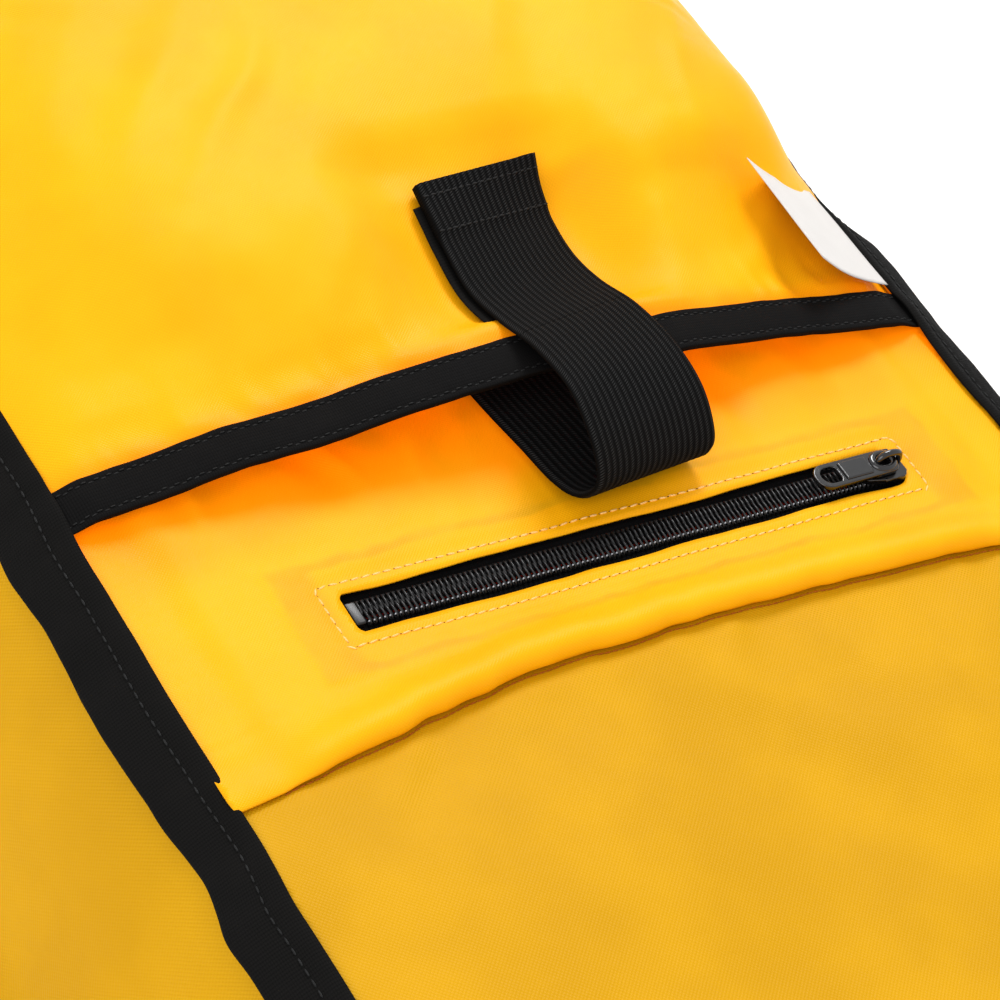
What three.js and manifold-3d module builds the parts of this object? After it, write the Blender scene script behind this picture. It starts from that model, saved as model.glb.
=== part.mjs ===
// Bib-style inflatable life jacket, laid on its front face with the inner (back) face up.
// Millimetres, +Z up. +Y runs to the waist hem, -Y to the collar, the zip line is y = 0, and
// z = 0 is the flat front face. Every piece is one closed solid and touching pieces keep `gap`.
import * as THREE from 'three';
import { mergeVertices } from 'three/addons/utils/BufferGeometryUtils.js';
import Module from 'manifold-3d';

const wasm = await Module();
wasm.setup();

// ---------- sizes ----------
const gap = 0.3;                  // between pieces that touch
const fabric = 1.6;               // lining, pouch and label layers
const coverThickness = 1.8;       // front cover and side walls
const bodyHeight = 78;            // front face to the top of the lining
const halfWidth = 117;            // lining, at the waist
const hemY = 232;                 // waist edge of the lining
const hemRadius = 38;
const flareStartY = -100;         // where the sides start to widen to the collar
const flareAngle = 30;            // degrees, where the flare meets the collar round
const collarY = -275;             // centre of the collar
const collarRadius = 160;
const neckRadius = 88;
const neckTipY = -155;            // point of the head opening
const neckTipRadius = 16;
const coverOverhang = 34;         // front cover beyond the lining, all round
const wallBulge = 7;
const neckWallBulge = 4;
const bindingWidth = 12;
const bindingDroop = 38;          // degrees below level
const bindingThickness = 2;
const frontBindingWidth = 8;
const seamY = -34;                // between the collar lining and the zip panel
const seamRollWidth = 10;
const seamRollHeight = 5;
const seamRollBow = 12;

const zipFrom = -halfWidth + 48.5;      // window in the zip panel
const zipTo = halfWidth - 35.5;
const windowClearance = 0.9;      // beside the slider
const tapeThickness = 0.8;
const tapeWidth = 16;
const tapeBeyond = 14;
const coilWidth = 2.4;
const coilHeight = 2.2;
const coilGroove = 1.4;           // between the two coils, for the slider's post
const sliderLength = 12.6;
const sliderWidth = 9.2;
const zipWindow = sliderWidth + 2 * windowClearance;
const sliderPlate = 1.1;
const sliderPost = 0.8;
const archWidth = 2;
const archOpening = 4;
const archWire = 1.3;
const pullLength = 23.5;
const pullWidth = 7.2;
const pullThickness = 1.3;

const mouthFrom = 38;             // elastic band along the pouch mouth
const mouthLow = 2.7;             // height of the band over the lining, at the sides
const mouthRise = 15.3;           // extra height in the middle
const mouthSharpness = 1.3;
const mouthThickness = 2.4;
const pouchTo = hemY - 6;
const pouchHeight = 22;
const pouchRiseLength = 50;
const pouchFallLength = 46;

const strapWidth = 37;
const strapCentre = 16;
const strapThickness = 1.8;
const strapHem = 1.5;             // folded end of the strap
const hookThickness = 1;
const hookShift = -2;
const loopPatchWidth = strapWidth + 4;
const labelLength = 35;
const labelWidth = 30.5;
const labelThickness = 0.6;
const labelTilt = 30.5;           // degrees

const bladderInset = 8;
const bladderRoom = 6.4;          // under the lining, for the zip slider
const bladderChamfer = 8;
const portHeight = 40;            // centre of both bladder ports
const portRadius = 8;
const gasketRadius = portRadius + 6;
const gasketThickness = 2;
const inflatorY = -25;
const cylinderRadius = 11;
const inflatorBody = new THREE.Vector3(2 * (cylinderRadius + 1), 40, 34);
const cylinderLength = 88;
const cylinderNeck = 6;
const neckDepth = 7.5;
const pinRadius = 2.4;
const pinLength = 24;
const notchDepth = 9;
const leverWidth = 8;
const leverThickness = 4;
const leverAbove = 8;
const leverBelow = 26;
const pivotRadius = 1.5;
const sensorRadius = 13;
const sensorLength = 13;
const tubeRadius = 6.5;
const tubeLength = 56;
const valveRadius = 8.5;
const valveLength = 15;
const plungerRadius = 4.4;
const capWall = 1.3;
const whistleSize = new THREE.Vector3(9, 48, 18);

const beltWidth = 38;
const beltThickness = 2;
const beltLean = 17;              // degrees, along the side wall
const beltRootFrom = hemY - 92;
const beltRootTo = hemY - 36;
const beltUprightAt = hemY + 3;
const beltCorner = 60;
const beltReach = 122;            // belt's far run beyond the lining hem
const buckleRail = 3;             // beyond the belt's edge
const buckleHeight = beltWidth + 2 * buckleRail;
const keeperWall = 1.4;
const railIn = beltWidth / 2 + 2 * gap;
const beltZ = bindingThickness + gap + keeperWall + railIn;   // the keeper clears the front binding
const buckleDepth = 12;
const buckleHalf = 34;
const buckleBar = 4;
const prongReach = 20;
const adjusterLength = 24;
const adjusterRail = 2.2;
const keeperLength = 12;
const tabWidth = 25;
const ringWire = 1.75;
const ringInner = 28;
const ringReach = 18;

// ---------- looks: colour, roughness, metalness ----------
const yellow = ['#ffd028', 0.55, 0];
const gold = ['#f0b516', 0.6, 0];
const blackTape = ['#161616', 0.85, 0];
const blackPlastic = ['#1b1b1d', 0.4, 0];
const blackMetal = ['#101012', 0.25, 0.8];
const white = ['#ecebe6', 0.8, 0];
const orange = ['#e8641b', 0.5, 0];
const red = ['#c0231c', 0.4, 0];
const steel = ['#b9bcc0', 0.3, 1];
const silver = ['#c9ccd0', 0.35, 0.2];

// ---------- building helpers ----------
const jacket = new THREE.Group();
const V2 = (x, y) => new THREE.Vector2(x, y);
const lerp = THREE.MathUtils.lerp;
const radians = THREE.MathUtils.degToRad;
const degrees = THREE.MathUtils.radToDeg;
const smooth = (t) => THREE.MathUtils.smoothstep(t, 0, 1);
const spaced = (from, to, steps) => Array.from({ length: steps + 1 }, (_, i) => lerp(from, to, i / steps));

function add(name, geometry, [color, roughness, metalness]) {
  const mesh = new THREE.Mesh(geometry, new THREE.MeshStandardMaterial({ color, roughness, metalness }));
  mesh.name = name;
  jacket.add(mesh);
  return mesh;
}

const arc = (cx, cy, radius, from, to, steps) => spaced(from, to, steps).map(
  (a) => V2(cx + radius * Math.cos(radians(a)), cy + radius * Math.sin(radians(a))));
const rectangle = (x0, x1, y0, y1) => [V2(x0, y0), V2(x1, y0), V2(x1, y1), V2(x0, y1)];
const rounded = (x0, x1, y0, y1, r) => [
  ...arc(x1 - r, y0 + r, r, -90, 0, 3), ...arc(x1 - r, y1 - r, r, 0, 90, 3),
  ...arc(x0 + r, y1 - r, r, 90, 180, 3), ...arc(x0 + r, y0 + r, r, 180, 270, 3)];

// Offsets a counter-clockwise outline outwards by `distance`.
function grow(outline, distance) {
  return outline.map((p, i) => {
    const before = p.clone().sub(outline.at(i - 1)).normalize();
    const after = outline[(i + 1) % outline.length].clone().sub(p).normalize();
    const n1 = V2(before.y, -before.x);
    const n2 = V2(after.y, -after.x);
    return p.clone().addScaledVector(n1.clone().add(n2), distance / (1 + n1.dot(n2)));
  });
}

// Keeps the part of an outline on one side of y = level.
function keepSide(outline, level, above) {
  const inside = (p) => (above ? p.y >= level : p.y <= level);
  const kept = [];
  outline.forEach((p, i) => {
    const q = outline[(i + 1) % outline.length];
    if (inside(p)) kept.push(p);
    if (inside(p) !== inside(q)) kept.push(p.clone().lerp(q, (level - p.y) / (q.y - p.y)));
  });
  return kept;
}

function extrude(outline, holes, depth, bevel = {}) {
  const shape = new THREE.Shape(outline);
  shape.holes = holes.map((hole) => new THREE.Path(hole));
  return new THREE.ExtrudeGeometry(shape, { depth, bevelEnabled: false, ...bevel });
}
const frameX = new THREE.Matrix4().makeBasis(
  new THREE.Vector3(0, 1, 0), new THREE.Vector3(0, 0, 1), new THREE.Vector3(1, 0, 0));
const frameY = new THREE.Matrix4().makeBasis(
  new THREE.Vector3(1, 0, 0), new THREE.Vector3(0, 0, 1), new THREE.Vector3(0, -1, 0));
const prismZ = (outline, z, depth, holes = []) => extrude(outline, holes, depth).translate(0, 0, z);
const prismX = (outline, x, depth, holes = []) =>
  extrude(outline, holes, depth).applyMatrix4(frameX).translate(x, 0, 0);
const prismY = (outline, y, depth, holes = []) =>
  extrude(outline, holes, depth).applyMatrix4(frameY).translate(0, y + depth, 0);
const box = (x0, x1, y0, y1, z0, z1) => prismZ(rectangle(x0, x1, y0, y1), z0, z1 - z0);

// Turned solid about the Y direction (or X) through `centre`; profile is [radius, along] pairs.
const turnedY = (profile, centre, sides = 16) => outward(
  new THREE.LatheGeometry(profile.map(([r, a]) => V2(r, a)), sides)).translate(...centre);
const turnedX = (profile, centre, sides = 16) => outward(
  new THREE.LatheGeometry(profile.map(([r, a]) => V2(r, a)), sides))
  .rotateZ(-Math.PI / 2).translate(...centre);
const rod = (radius, from, to) => [[0, from], [radius, from], [radius, to], [0, to]];

// Flips a closed geometry whose faces point in.
function outward(geometry) {
  const { position } = geometry.attributes;
  const order = geometry.index.array;
  const corner = (k) => new THREE.Vector3().fromBufferAttribute(position, order[k]);
  let volume = 0;
  for (let k = 0; k < order.length; k += 3) {
    volume += corner(k).dot(corner(k + 1).cross(corner(k + 2)));
  }
  if (volume < 0) {
    for (let k = 0; k < order.length; k += 3) [order[k], order[k + 1]] = [order[k + 1], order[k]];
  }
  return geometry;
}

// Skins sections of equal length. Each section is an outer run, then the inner run backwards.
function loft(sections, closed = false) {
  const n = sections.length;
  const m = sections[0].length;
  const at = (i, j) => (i % n) * m + (j % m);
  const faces = [];
  for (let i = 0; i < (closed ? n : n - 1); i++) {
    for (let j = 0; j < m; j++) {
      const [a, b, c, d] = [at(i, j), at(i + 1, j), at(i + 1, j + 1), at(i, j + 1)];
      faces.push(a, b, c, a, c, d);
    }
  }
  for (let j = 0; !closed && j < m / 2 - 1; j++) {
    const [a, b, c, d] = [at(0, j), at(0, j + 1), at(0, m - 2 - j), at(0, m - 1 - j)];
    const last = (n - 1) * m;
    faces.push(a, b, c, a, c, d, last + a, last + c, last + b, last + a, last + d, last + c);
  }
  const geometry = new THREE.BufferGeometry();
  geometry.setAttribute('position', new THREE.Float32BufferAttribute(sections.flat(2), 3));
  geometry.setIndex(faces);
  return outward(geometry);
}

// Runs a section of [offset, z] pairs all the way round an outline.
function sweepRound(outline, section) {
  const loops = section.map(([offset]) => grow(outline, offset));
  return loft(outline.map((_, i) => section.map(([, z], j) => [loops[j][i].x, loops[j][i].y, z])), true);
}

function toSolid(geometry) {
  const bare = geometry.clone();
  bare.deleteAttribute('normal');
  bare.deleteAttribute('uv');
  const merged = mergeVertices(bare, 1e-4);
  return new wasm.Manifold(new wasm.Mesh({
    numProp: 3,
    vertProperties: new Float32Array(merged.attributes.position.array),
    triVerts: new Uint32Array(merged.index.array),
  }));
}
function fromSolid(solid) {
  const { vertProperties, triVerts } = solid.getMesh();
  const geometry = new THREE.BufferGeometry();
  geometry.setAttribute('position', new THREE.BufferAttribute(vertProperties, 3));
  geometry.setIndex(new THREE.BufferAttribute(triVerts, 1));
  return geometry;
}
const join = (first, ...rest) => fromSolid(rest.reduce((s, g) => s.add(toSolid(g)), toSolid(first)));
const cut = (first, ...rest) => fromSolid(rest.reduce((s, g) => s.subtract(toSolid(g)), toSolid(first)));

// Band of even thickness along a line of (across, up) points, between two offsets from the line.
function band(line, low, high) {
  const shifted = (distance) => line.map((p, i) => {
    const t = line[Math.min(i + 1, line.length - 1)].clone().sub(line[Math.max(i - 1, 0)]).normalize();
    return V2(p.x - t.y * distance, p.y + t.x * distance);
  });
  return [...shifted(low), ...shifted(high).reverse()];
}
const lifted = (points, dz) => points.map((p) => V2(p.x, p.y + dz));

// ---------- outlines ----------
function jacketOutline() {
  const join3 = arc(0, collarY, collarRadius, flareAngle, flareAngle, 1)[0];
  const pull = (flareStartY - join3.y) * 0.4;
  const heading = radians(flareAngle);
  const flare = new THREE.CubicBezierCurve(
    V2(halfWidth, flareStartY), V2(halfWidth, flareStartY - pull),
    V2(join3.x - pull * Math.sin(heading), join3.y + pull * Math.cos(heading)), join3);
  const right = [
    ...arc(halfWidth - hemRadius, hemY - hemRadius, hemRadius, 90, 0, 6),
    ...flare.getPoints(6).slice(0, -1),
    ...arc(0, collarY, collarRadius, flareAngle, -90, 12)];
  const left = right.slice(0, -1).map((p) => V2(-p.x, p.y));
  return [...left, ...right.reverse()];
}
function teardrop() {
  const tipCentre = neckTipY - neckTipRadius;
  const lean = degrees(Math.asin((neckRadius - neckTipRadius) / (tipCentre - collarY)));
  return [
    ...arc(0, tipCentre, neckTipRadius, lean, 180 - lean, 5),
    ...arc(0, collarY, neckRadius, 180 - lean, 360 + lean, 22)];
}
const outline = jacketOutline();
const neck = teardrop();

// ---------- cover, walls, linings ----------
const liningZ = bodyHeight - fabric;
const wallFrom = coverThickness + gap;
const wallTo = liningZ - gap;
const wallHeightAt = (s) => lerp(wallFrom, wallTo, s);
const wallOffset = (s) => coverOverhang * (1 - s) - 2 * gap * s + wallBulge * 4 * s * (1 - s);
const wallOffsetAt = (z) => wallOffset((z - wallFrom) / (wallTo - wallFrom));
const wallSteps = spaced(0, 1, 5);

add('front_cover', prismZ(grow(outline, coverOverhang), 0, coverThickness, [neck]), gold);
add('lining_collar',
  prismZ(keepSide(outline, seamY - gap, false), liningZ, fabric, [neck]), gold);
add('lining_zip_panel', prismZ(keepSide(outline, seamY, true), liningZ, fabric,
  [rectangle(zipFrom, zipTo, -zipWindow / 2, zipWindow / 2)]), yellow);

const sideWall = sweepRound(outline, [
  ...wallSteps.map((s) => [wallOffset(s), wallHeightAt(s)]),
  ...wallSteps.map((s) => [wallOffset(s) - coverThickness, wallHeightAt(s)]).reverse()]);
const neckOffset = (s) => 2 * gap - neckWallBulge * 4 * s * (1 - s);
add('wall_neck', sweepRound(neck, [
  ...wallSteps.map((s) => [neckOffset(s), wallHeightAt(s)]),
  ...wallSteps.map((s) => [neckOffset(s) + coverThickness, wallHeightAt(s)]).reverse()]), gold);

const droopOut = bindingWidth * Math.cos(radians(bindingDroop));
const droopDown = bindingWidth * Math.sin(radians(bindingDroop));
const bindingSide = (sign) => [
  [sign * gap, bodyHeight],
  [sign * (gap + droopOut), bodyHeight - droopDown],
  [sign * (gap + droopOut - bindingThickness * Math.sin(radians(bindingDroop))),
    bodyHeight - droopDown - bindingThickness * Math.cos(radians(bindingDroop))],
  [sign * gap, bodyHeight - bindingThickness / Math.cos(radians(bindingDroop))]];
const flatBinding = (sign, from) => [
  [sign * (from + gap), 0], [sign * (from + gap + frontBindingWidth), 0],
  [sign * (from + gap + frontBindingWidth), bindingThickness], [sign * (from + gap), bindingThickness]];
add('binding_back', sweepRound(outline, bindingSide(1)), blackTape);
add('binding_neck_back', sweepRound(neck, bindingSide(-1)), blackTape);
add('binding_front', sweepRound(outline, flatBinding(1, coverOverhang)), blackTape);
add('binding_neck_front', sweepRound(neck, flatBinding(-1, 0)), blackTape);

const rollEdge = halfWidth - 4 * gap;
const rollShape = [[-0.5, 0.12], [-0.25, 0.88], [0.15, 1], [0.5, 0.12]];
add('seam_roll', loft(spaced(-rollEdge, rollEdge, 12).map((x) => {
  const y = seamY - 4 + seamRollBow * (1 - (x / halfWidth) ** 2);
  const top = rollShape.map(([across, up]) =>
    [x, y + across * seamRollWidth, bodyHeight + gap + up * seamRollHeight]);
  const under = rollShape.map(([across]) => [x, y + across * seamRollWidth, bodyHeight + gap]);
  return [...top, ...under.reverse()];
})), yellow);

// ---------- zip ----------
const tapeTop = liningZ - gap;
const coilTop = tapeTop + gap + coilHeight;
for (const [side, sign] of [['upper', 1], ['lower', -1]]) {
  const near = sign * coilGroove / 2;
  const tapeFar = near + sign * tapeWidth;
  const coilFar = near + sign * coilWidth;
  const [t0, t1] = [Math.min(near, tapeFar), Math.max(near, tapeFar)];
  const [c0, c1] = [Math.min(near, coilFar), Math.max(near, coilFar)];
  add(`zip_tape_${side}`,
    box(zipFrom - tapeBeyond, zipTo + tapeBeyond, t0, t1, tapeTop - tapeThickness, tapeTop), blackTape);
  add(`zip_coil_${side}`,
    box(zipFrom + 3, zipTo - 2 * gap, c0, c1, tapeTop + gap, coilTop), blackPlastic);
}
const coilHalf = coilGroove / 2 + coilWidth;
add('zip_stop', box(zipFrom + gap, zipFrom + 3 - gap, -coilHalf, coilHalf, tapeTop + gap, coilTop),
  blackMetal);

const sliderTo = zipTo - 2 * gap;
const sliderFrom = sliderTo - sliderLength;
const sliderUnder = tapeTop - tapeThickness - gap;
const sliderOver = coilTop + gap;
const sliderTop = sliderOver + sliderPlate;
const flange = sliderWidth / 2 - coilHalf - gap;
const sliderSection = [
  V2(-sliderWidth / 2, sliderUnder - sliderPlate), V2(sliderWidth / 2, sliderUnder - sliderPlate),
  V2(sliderWidth / 2, sliderUnder), V2(sliderPost / 2, sliderUnder), V2(sliderPost / 2, sliderOver),
  V2(sliderWidth / 2 - flange, sliderOver), V2(sliderWidth / 2 - flange, tapeTop + 2 * gap),
  V2(sliderWidth / 2, tapeTop + 2 * gap), V2(sliderWidth / 2, sliderTop),
  V2(-sliderWidth / 2, sliderTop), V2(-sliderWidth / 2, tapeTop + 2 * gap),
  V2(-sliderWidth / 2 + flange, tapeTop + 2 * gap), V2(-sliderWidth / 2 + flange, sliderOver),
  V2(-sliderPost / 2, sliderOver), V2(-sliderPost / 2, sliderUnder), V2(-sliderWidth / 2, sliderUnder)];
const pullZ = sliderTop + 1.1;    // hinge line of the pull, inside the arch
const pullX = sliderTo - archWire - 1.55;
const archRise = pullZ + 1.6;
const archLeft = sliderTo - 2 * archWire - archOpening - 0.4;
const arch = prismY([V2(archLeft, sliderTop - 0.4), V2(sliderTo, sliderTop - 0.4),
  V2(sliderTo, archRise), V2(sliderTo - archWire, archRise + archWire),
  V2(archLeft + archWire, archRise + archWire), V2(archLeft, archRise)],
-archWidth / 2, archWidth, [rectangle(archLeft + archWire, sliderTo - archWire, sliderTop, archRise)]);
add('zip_slider', join(prismX(sliderSection, sliderFrom, sliderLength), arch), blackMetal);

const pullEnd = pullX + 0.85;
const pullStart = pullEnd - pullLength;
const windowTo = pullX - 0.85;
add('zip_pull', prismZ([
  ...arc(pullStart + pullWidth / 2, 0, pullWidth / 2, 90, 270, 6),
  V2(pullEnd - 1.5, -pullWidth / 2), V2(pullEnd, -pullWidth / 2 + 1.5),
  V2(pullEnd, pullWidth / 2 - 1.5), V2(pullEnd - 1.5, pullWidth / 2)],
pullZ - pullThickness / 2, pullThickness, [
  rectangle(archLeft - 1.2, windowTo, -archWidth / 2 - 0.8, archWidth / 2 + 0.8),
  arc(pullStart + pullWidth / 2 + 0.4, 0, pullWidth / 2 - 1.4, 0, 330, 11)]), blackMetal);

// ---------- pouch, elastic band and closure strap ----------
const mouthTo = mouthFrom + bindingWidth;
const mouthHeight = (x) => mouthLow + mouthRise * (1 - (Math.abs(x) / halfWidth) ** mouthSharpness);
const mouthEdge = halfWidth - gap;
add('mouth_binding', loft(spaced(-mouthEdge, mouthEdge, 16).map((x) => {
  const top = bodyHeight + mouthHeight(x);
  return [[x, mouthFrom, top], [x, mouthTo, top],
    [x, mouthTo, top - mouthThickness], [x, mouthFrom, top - mouthThickness]];
})), blackTape);

const strapRise = mouthLow + mouthRise + strapThickness / 2 + 2 * gap;   // line over the mouth band
const strapLow = gap + strapThickness / 2;                               // line on the lining
const baseLine = new THREE.SplineCurve([
  V2(mouthTo + 42, strapLow), V2(mouthFrom + 20, strapLow), V2(mouthFrom - 6, strapLow),
  V2(mouthFrom - 15, strapLow + 0.5), V2(mouthFrom - 22, strapLow + 2.9),
  V2(mouthFrom - 26, strapLow + 7), V2(mouthFrom - 26, lerp(strapLow, strapRise, 0.58)),
  V2(mouthFrom - 22.5, strapRise - 4.2), V2(mouthFrom - 16, strapRise - 1.4),
  V2(mouthFrom - 8, strapRise + 0.2), V2(mouthFrom + 2, strapRise + 0.5),
  V2(mouthTo + 0.8, strapRise)]).getPoints(33);
const tabLine = new THREE.SplineCurve([
  V2(mouthTo + 1.2, strapRise), V2(mouthTo + 6, strapRise - 1.5), V2(mouthTo + 12, strapRise - 3.4),
  V2(mouthTo + 22, strapRise - 5.1), V2(mouthTo + 32, strapRise - 4.9),
  V2(mouthTo + 42, strapRise - 2.3), V2(mouthTo + 53, strapRise + 2.2)]).getPoints(12);
const strapFrom = strapCentre - strapWidth / 2;
const half = strapThickness / 2;
add('strap_base', prismX(lifted(band(baseLine, -half, half), bodyHeight), strapFrom, strapWidth),
  blackTape);

const hemAt = 8;                  // tabLine point where the folded end starts
const tabBand = band(tabLine, -half, half);
const hemBand = band(tabLine, -half, half + strapHem);
const tabOutline = [...tabBand.slice(0, tabLine.length),
  ...hemBand.slice(tabLine.length, 2 * tabLine.length - hemAt),
  ...tabBand.slice(2 * tabLine.length - hemAt - 1)];
add('strap_tab', prismX(lifted(tabOutline, bodyHeight), strapFrom, strapWidth), blackTape);

const patchLine = tabLine.slice(3);
const hookTop = -half - gap;
const loopTop = hookTop - hookThickness - gap;
add('strap_hook_patch', prismX(
  lifted(band(patchLine, hookTop - hookThickness, hookTop), bodyHeight),
  strapFrom + hookShift, strapWidth), blackTape);
add('strap_loop_patch', prismX(
  lifted(band(patchLine, loopTop - hookThickness, loopTop), bodyHeight),
  strapCentre - loopPatchWidth / 2, loopPatchWidth), blackTape);

// Height of the pouch over the lining: low at the mouth, domed behind it, pressed under the strap.
const pouchEdge = halfWidth - 1;
const pouchFrom = mouthTo + gap;
const bedDepth = hookThickness - loopTop + 0.8;
function pouchTop(x, y, bed) {
  const across = 1 - (Math.abs(x) / pouchEdge) ** 3;
  const dome = fabric + gap + pouchHeight * across * smooth((pouchTo - y) / pouchFallLength);
  const open = lerp(mouthHeight(x), dome, smooth((y - pouchFrom) / pouchRiseLength));
  const beside = Math.abs(x - strapCentre) - loopPatchWidth / 2 - 2;
  const pressed = 1 - smooth(beside / 26);
  return bed === null ? open : lerp(open, Math.min(open, bed), pressed);
}
const bedLine = [[pouchFrom, mouthLow + mouthRise]];
for (const p of tabLine.slice(1)) bedLine.push([p.x, p.y - bedDepth]);
const bedEnd = bedLine.at(-1);
bedLine.push([bedEnd[0] + 9, bedEnd[1] + 2.5]);
const columns = [
  ...spaced(-pouchEdge, strapCentre - loopPatchWidth / 2 - 2, 8),
  ...spaced(strapCentre + loopPatchWidth / 2 + 2, pouchEdge, 6)];
const rows = [...bedLine, ...spaced(bedLine.at(-1)[0] + 14, hemY - hemRadius, 4).map((y) => [y, null]),
  ...spaced(hemY - hemRadius, pouchTo, 4).slice(1).map((y) => [y, null])];
// The sides stay 1 mm inside the lining, round the hem corners too.
const hemNarrowing = (y) => hemRadius - Math.sqrt(hemRadius ** 2 - Math.max(0, y - hemY + hemRadius) ** 2);
add('pouch', loft(rows.map(([y, bed]) => {
  const squeeze = (pouchEdge - hemNarrowing(y)) / pouchEdge;
  const top = columns.map((x) => [x * squeeze, y, bodyHeight + pouchTop(x, y, bed)]);
  return [...top, ...top.map(([px, py, pz]) => [px, py, pz - fabric]).reverse()];
})), yellow);

const labelHingeX = halfWidth - 2.5;
const labelHingeZ = bodyHeight + 3.4;
const label = add('care_label',
  box(-labelWidth, 0, mouthTo + 2 * gap, mouthTo + 2 * gap + labelLength, 0, labelThickness), white);
label.position.set(labelHingeX, 0, labelHingeZ);
label.rotation.y = radians(labelTilt);

// ---------- bladder, inflator and oral tube ----------
const shrink = bladderInset + bladderChamfer;
add('bladder', extrude(grow(outline, -shrink), [grow(neck, shrink)],
  liningZ - bladderRoom - wallFrom - 2 * bladderChamfer,
  { bevelEnabled: true, bevelSize: bladderChamfer, bevelThickness: bladderChamfer, bevelSegments: 1 })
  .translate(0, 0, wallFrom + bladderChamfer), orange);

// Outermost reach of the side wall over the height of a port's gasket.
const gasketOffset = Math.max(...spaced(portHeight - gasketRadius, portHeight + gasketRadius, 8)
  .map(wallOffsetAt)) + 2 * gap;
const portStart = -bladderInset + gap;
const portHole = (x, y) => turnedX(rod(portRadius + 2 * gap, -60, 60), [x, y, portHeight]);
add('wall_side', cut(sideWall,
  portHole(halfWidth + coverOverhang / 2, inflatorY),
  portHole(-collarRadius - coverOverhang / 2, collarY)), gold);
const gasket = [[portRadius + gap, 0], [gasketRadius, 0], [gasketRadius, gasketThickness],
  [portRadius + gap, gasketThickness], [portRadius + gap, 0]];
add('inflator_gasket', turnedX(gasket, [halfWidth + gasketOffset, inflatorY, portHeight]), blackPlastic);
add('oral_gasket', turnedX(gasket,
  [-collarRadius - gasketOffset - gasketThickness, collarY, portHeight]), blackPlastic);

const bodyX0 = halfWidth + gasketOffset + gasketThickness + gap;
const bodyX1 = bodyX0 + inflatorBody.x;
const bodyCentreX = (bodyX0 + bodyX1) / 2;
const bodyY0 = inflatorY - inflatorBody.y / 2;
const bodyY1 = inflatorY + inflatorBody.y / 2;
const bodyZ0 = portHeight - inflatorBody.z / 2;
const bodyZ1 = portHeight + inflatorBody.z / 2;
const pivotY = bodyY1 + 2.6;
const pivotZ = portHeight - 6;
const cheek = leverWidth / 2 + gap;
const notchFloor = bodyY1 - notchDepth;
const block = prismX(rounded(bodyY0, bodyY1, bodyZ0, bodyZ1, 6), bodyX0, inflatorBody.x);
const lugs = prismX(rounded(bodyY1 - 8, pivotY + 4, pivotZ - 5, pivotZ + 5, 2),
  bodyX0 + 2, inflatorBody.x - 4);
const stem = turnedX(rod(portRadius, 0, bodyX0 + 1 - halfWidth - portStart),
  [halfWidth + portStart, inflatorY, portHeight]);
const notch = box(bodyCentreX - cheek, bodyCentreX + cheek,
  notchFloor, pivotY + 5, pivotZ - 40, pivotZ + leverAbove + 4);
const axisAt = (y) => [bodyCentreX, y, portHeight];
const socket = turnedY(rod(cylinderNeck + 2 * gap, -1, neckDepth + gap), axisAt(bodyY0), 20);
const pinBore = turnedY(rod(pinRadius + 2 * gap, -2, inflatorBody.y), axisAt(bodyY0 + neckDepth), 12);
const pivotHole = turnedX(rod(pivotRadius + gap, -30, 30), [bodyCentreX, pivotY, pivotZ], 12);
add('inflator_body', fromSolid(toSolid(join(block, lugs, stem))
  .subtract(toSolid(notch)).subtract(toSolid(socket)).subtract(toSolid(pinBore))
  .subtract(toSolid(pivotHole))), blackPlastic);
add('lever_pin', turnedX(rod(pivotRadius, bodyX0 + 2, bodyX1 - 2), [0, pivotY, pivotZ], 12), steel);

const leverHalf = leverThickness / 2;
const leverOutline = [
  V2(pivotY - leverHalf, pivotZ + leverAbove), V2(pivotY - leverHalf, pivotZ - leverBelow),
  V2(pivotY + leverHalf, pivotZ - leverBelow), V2(pivotY + leverHalf, pivotZ + leverAbove)];
const eye = turnedY(rod(2.2, -10, 10), [bodyCentreX, pivotY, pivotZ - leverBelow + 6], 12);
add('inflator_lever', cut(prismX(leverOutline, bodyCentreX - leverWidth / 2, leverWidth),
  turnedX(rod(pivotRadius + gap, -30, 30), [bodyCentreX, pivotY, pivotZ], 12), eye), red);
const pinHead = pivotY - leverHalf - gap - 0.1;
add('firing_pin', turnedY([[0, -pinLength], [pinRadius * 0.5, -pinLength + 3], [pinRadius, -pinLength + 4],
  [pinRadius, 0], [0, 0]], axisAt(pinHead), 12), steel);

const shoulder = cylinderRadius * 0.8;
add('co2_cylinder', turnedY([
  [0, neckDepth - gap], [cylinderNeck, neckDepth - gap], [cylinderNeck, -4],
  [cylinderRadius * 0.75, -7], [cylinderRadius, -14], [cylinderRadius, shoulder - cylinderLength],
  [cylinderRadius * 0.72, 3 - cylinderLength], [0, -cylinderLength]], axisAt(bodyY0), 18), steel);
add('sensor_cap', turnedX([[0, 0], [sensorRadius, 0], [sensorRadius, sensorLength - 3],
  [sensorRadius - 3, sensorLength], [0, sensorLength]], [bodyX1 + gap, inflatorY, portHeight], 20),
blackPlastic);

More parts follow.
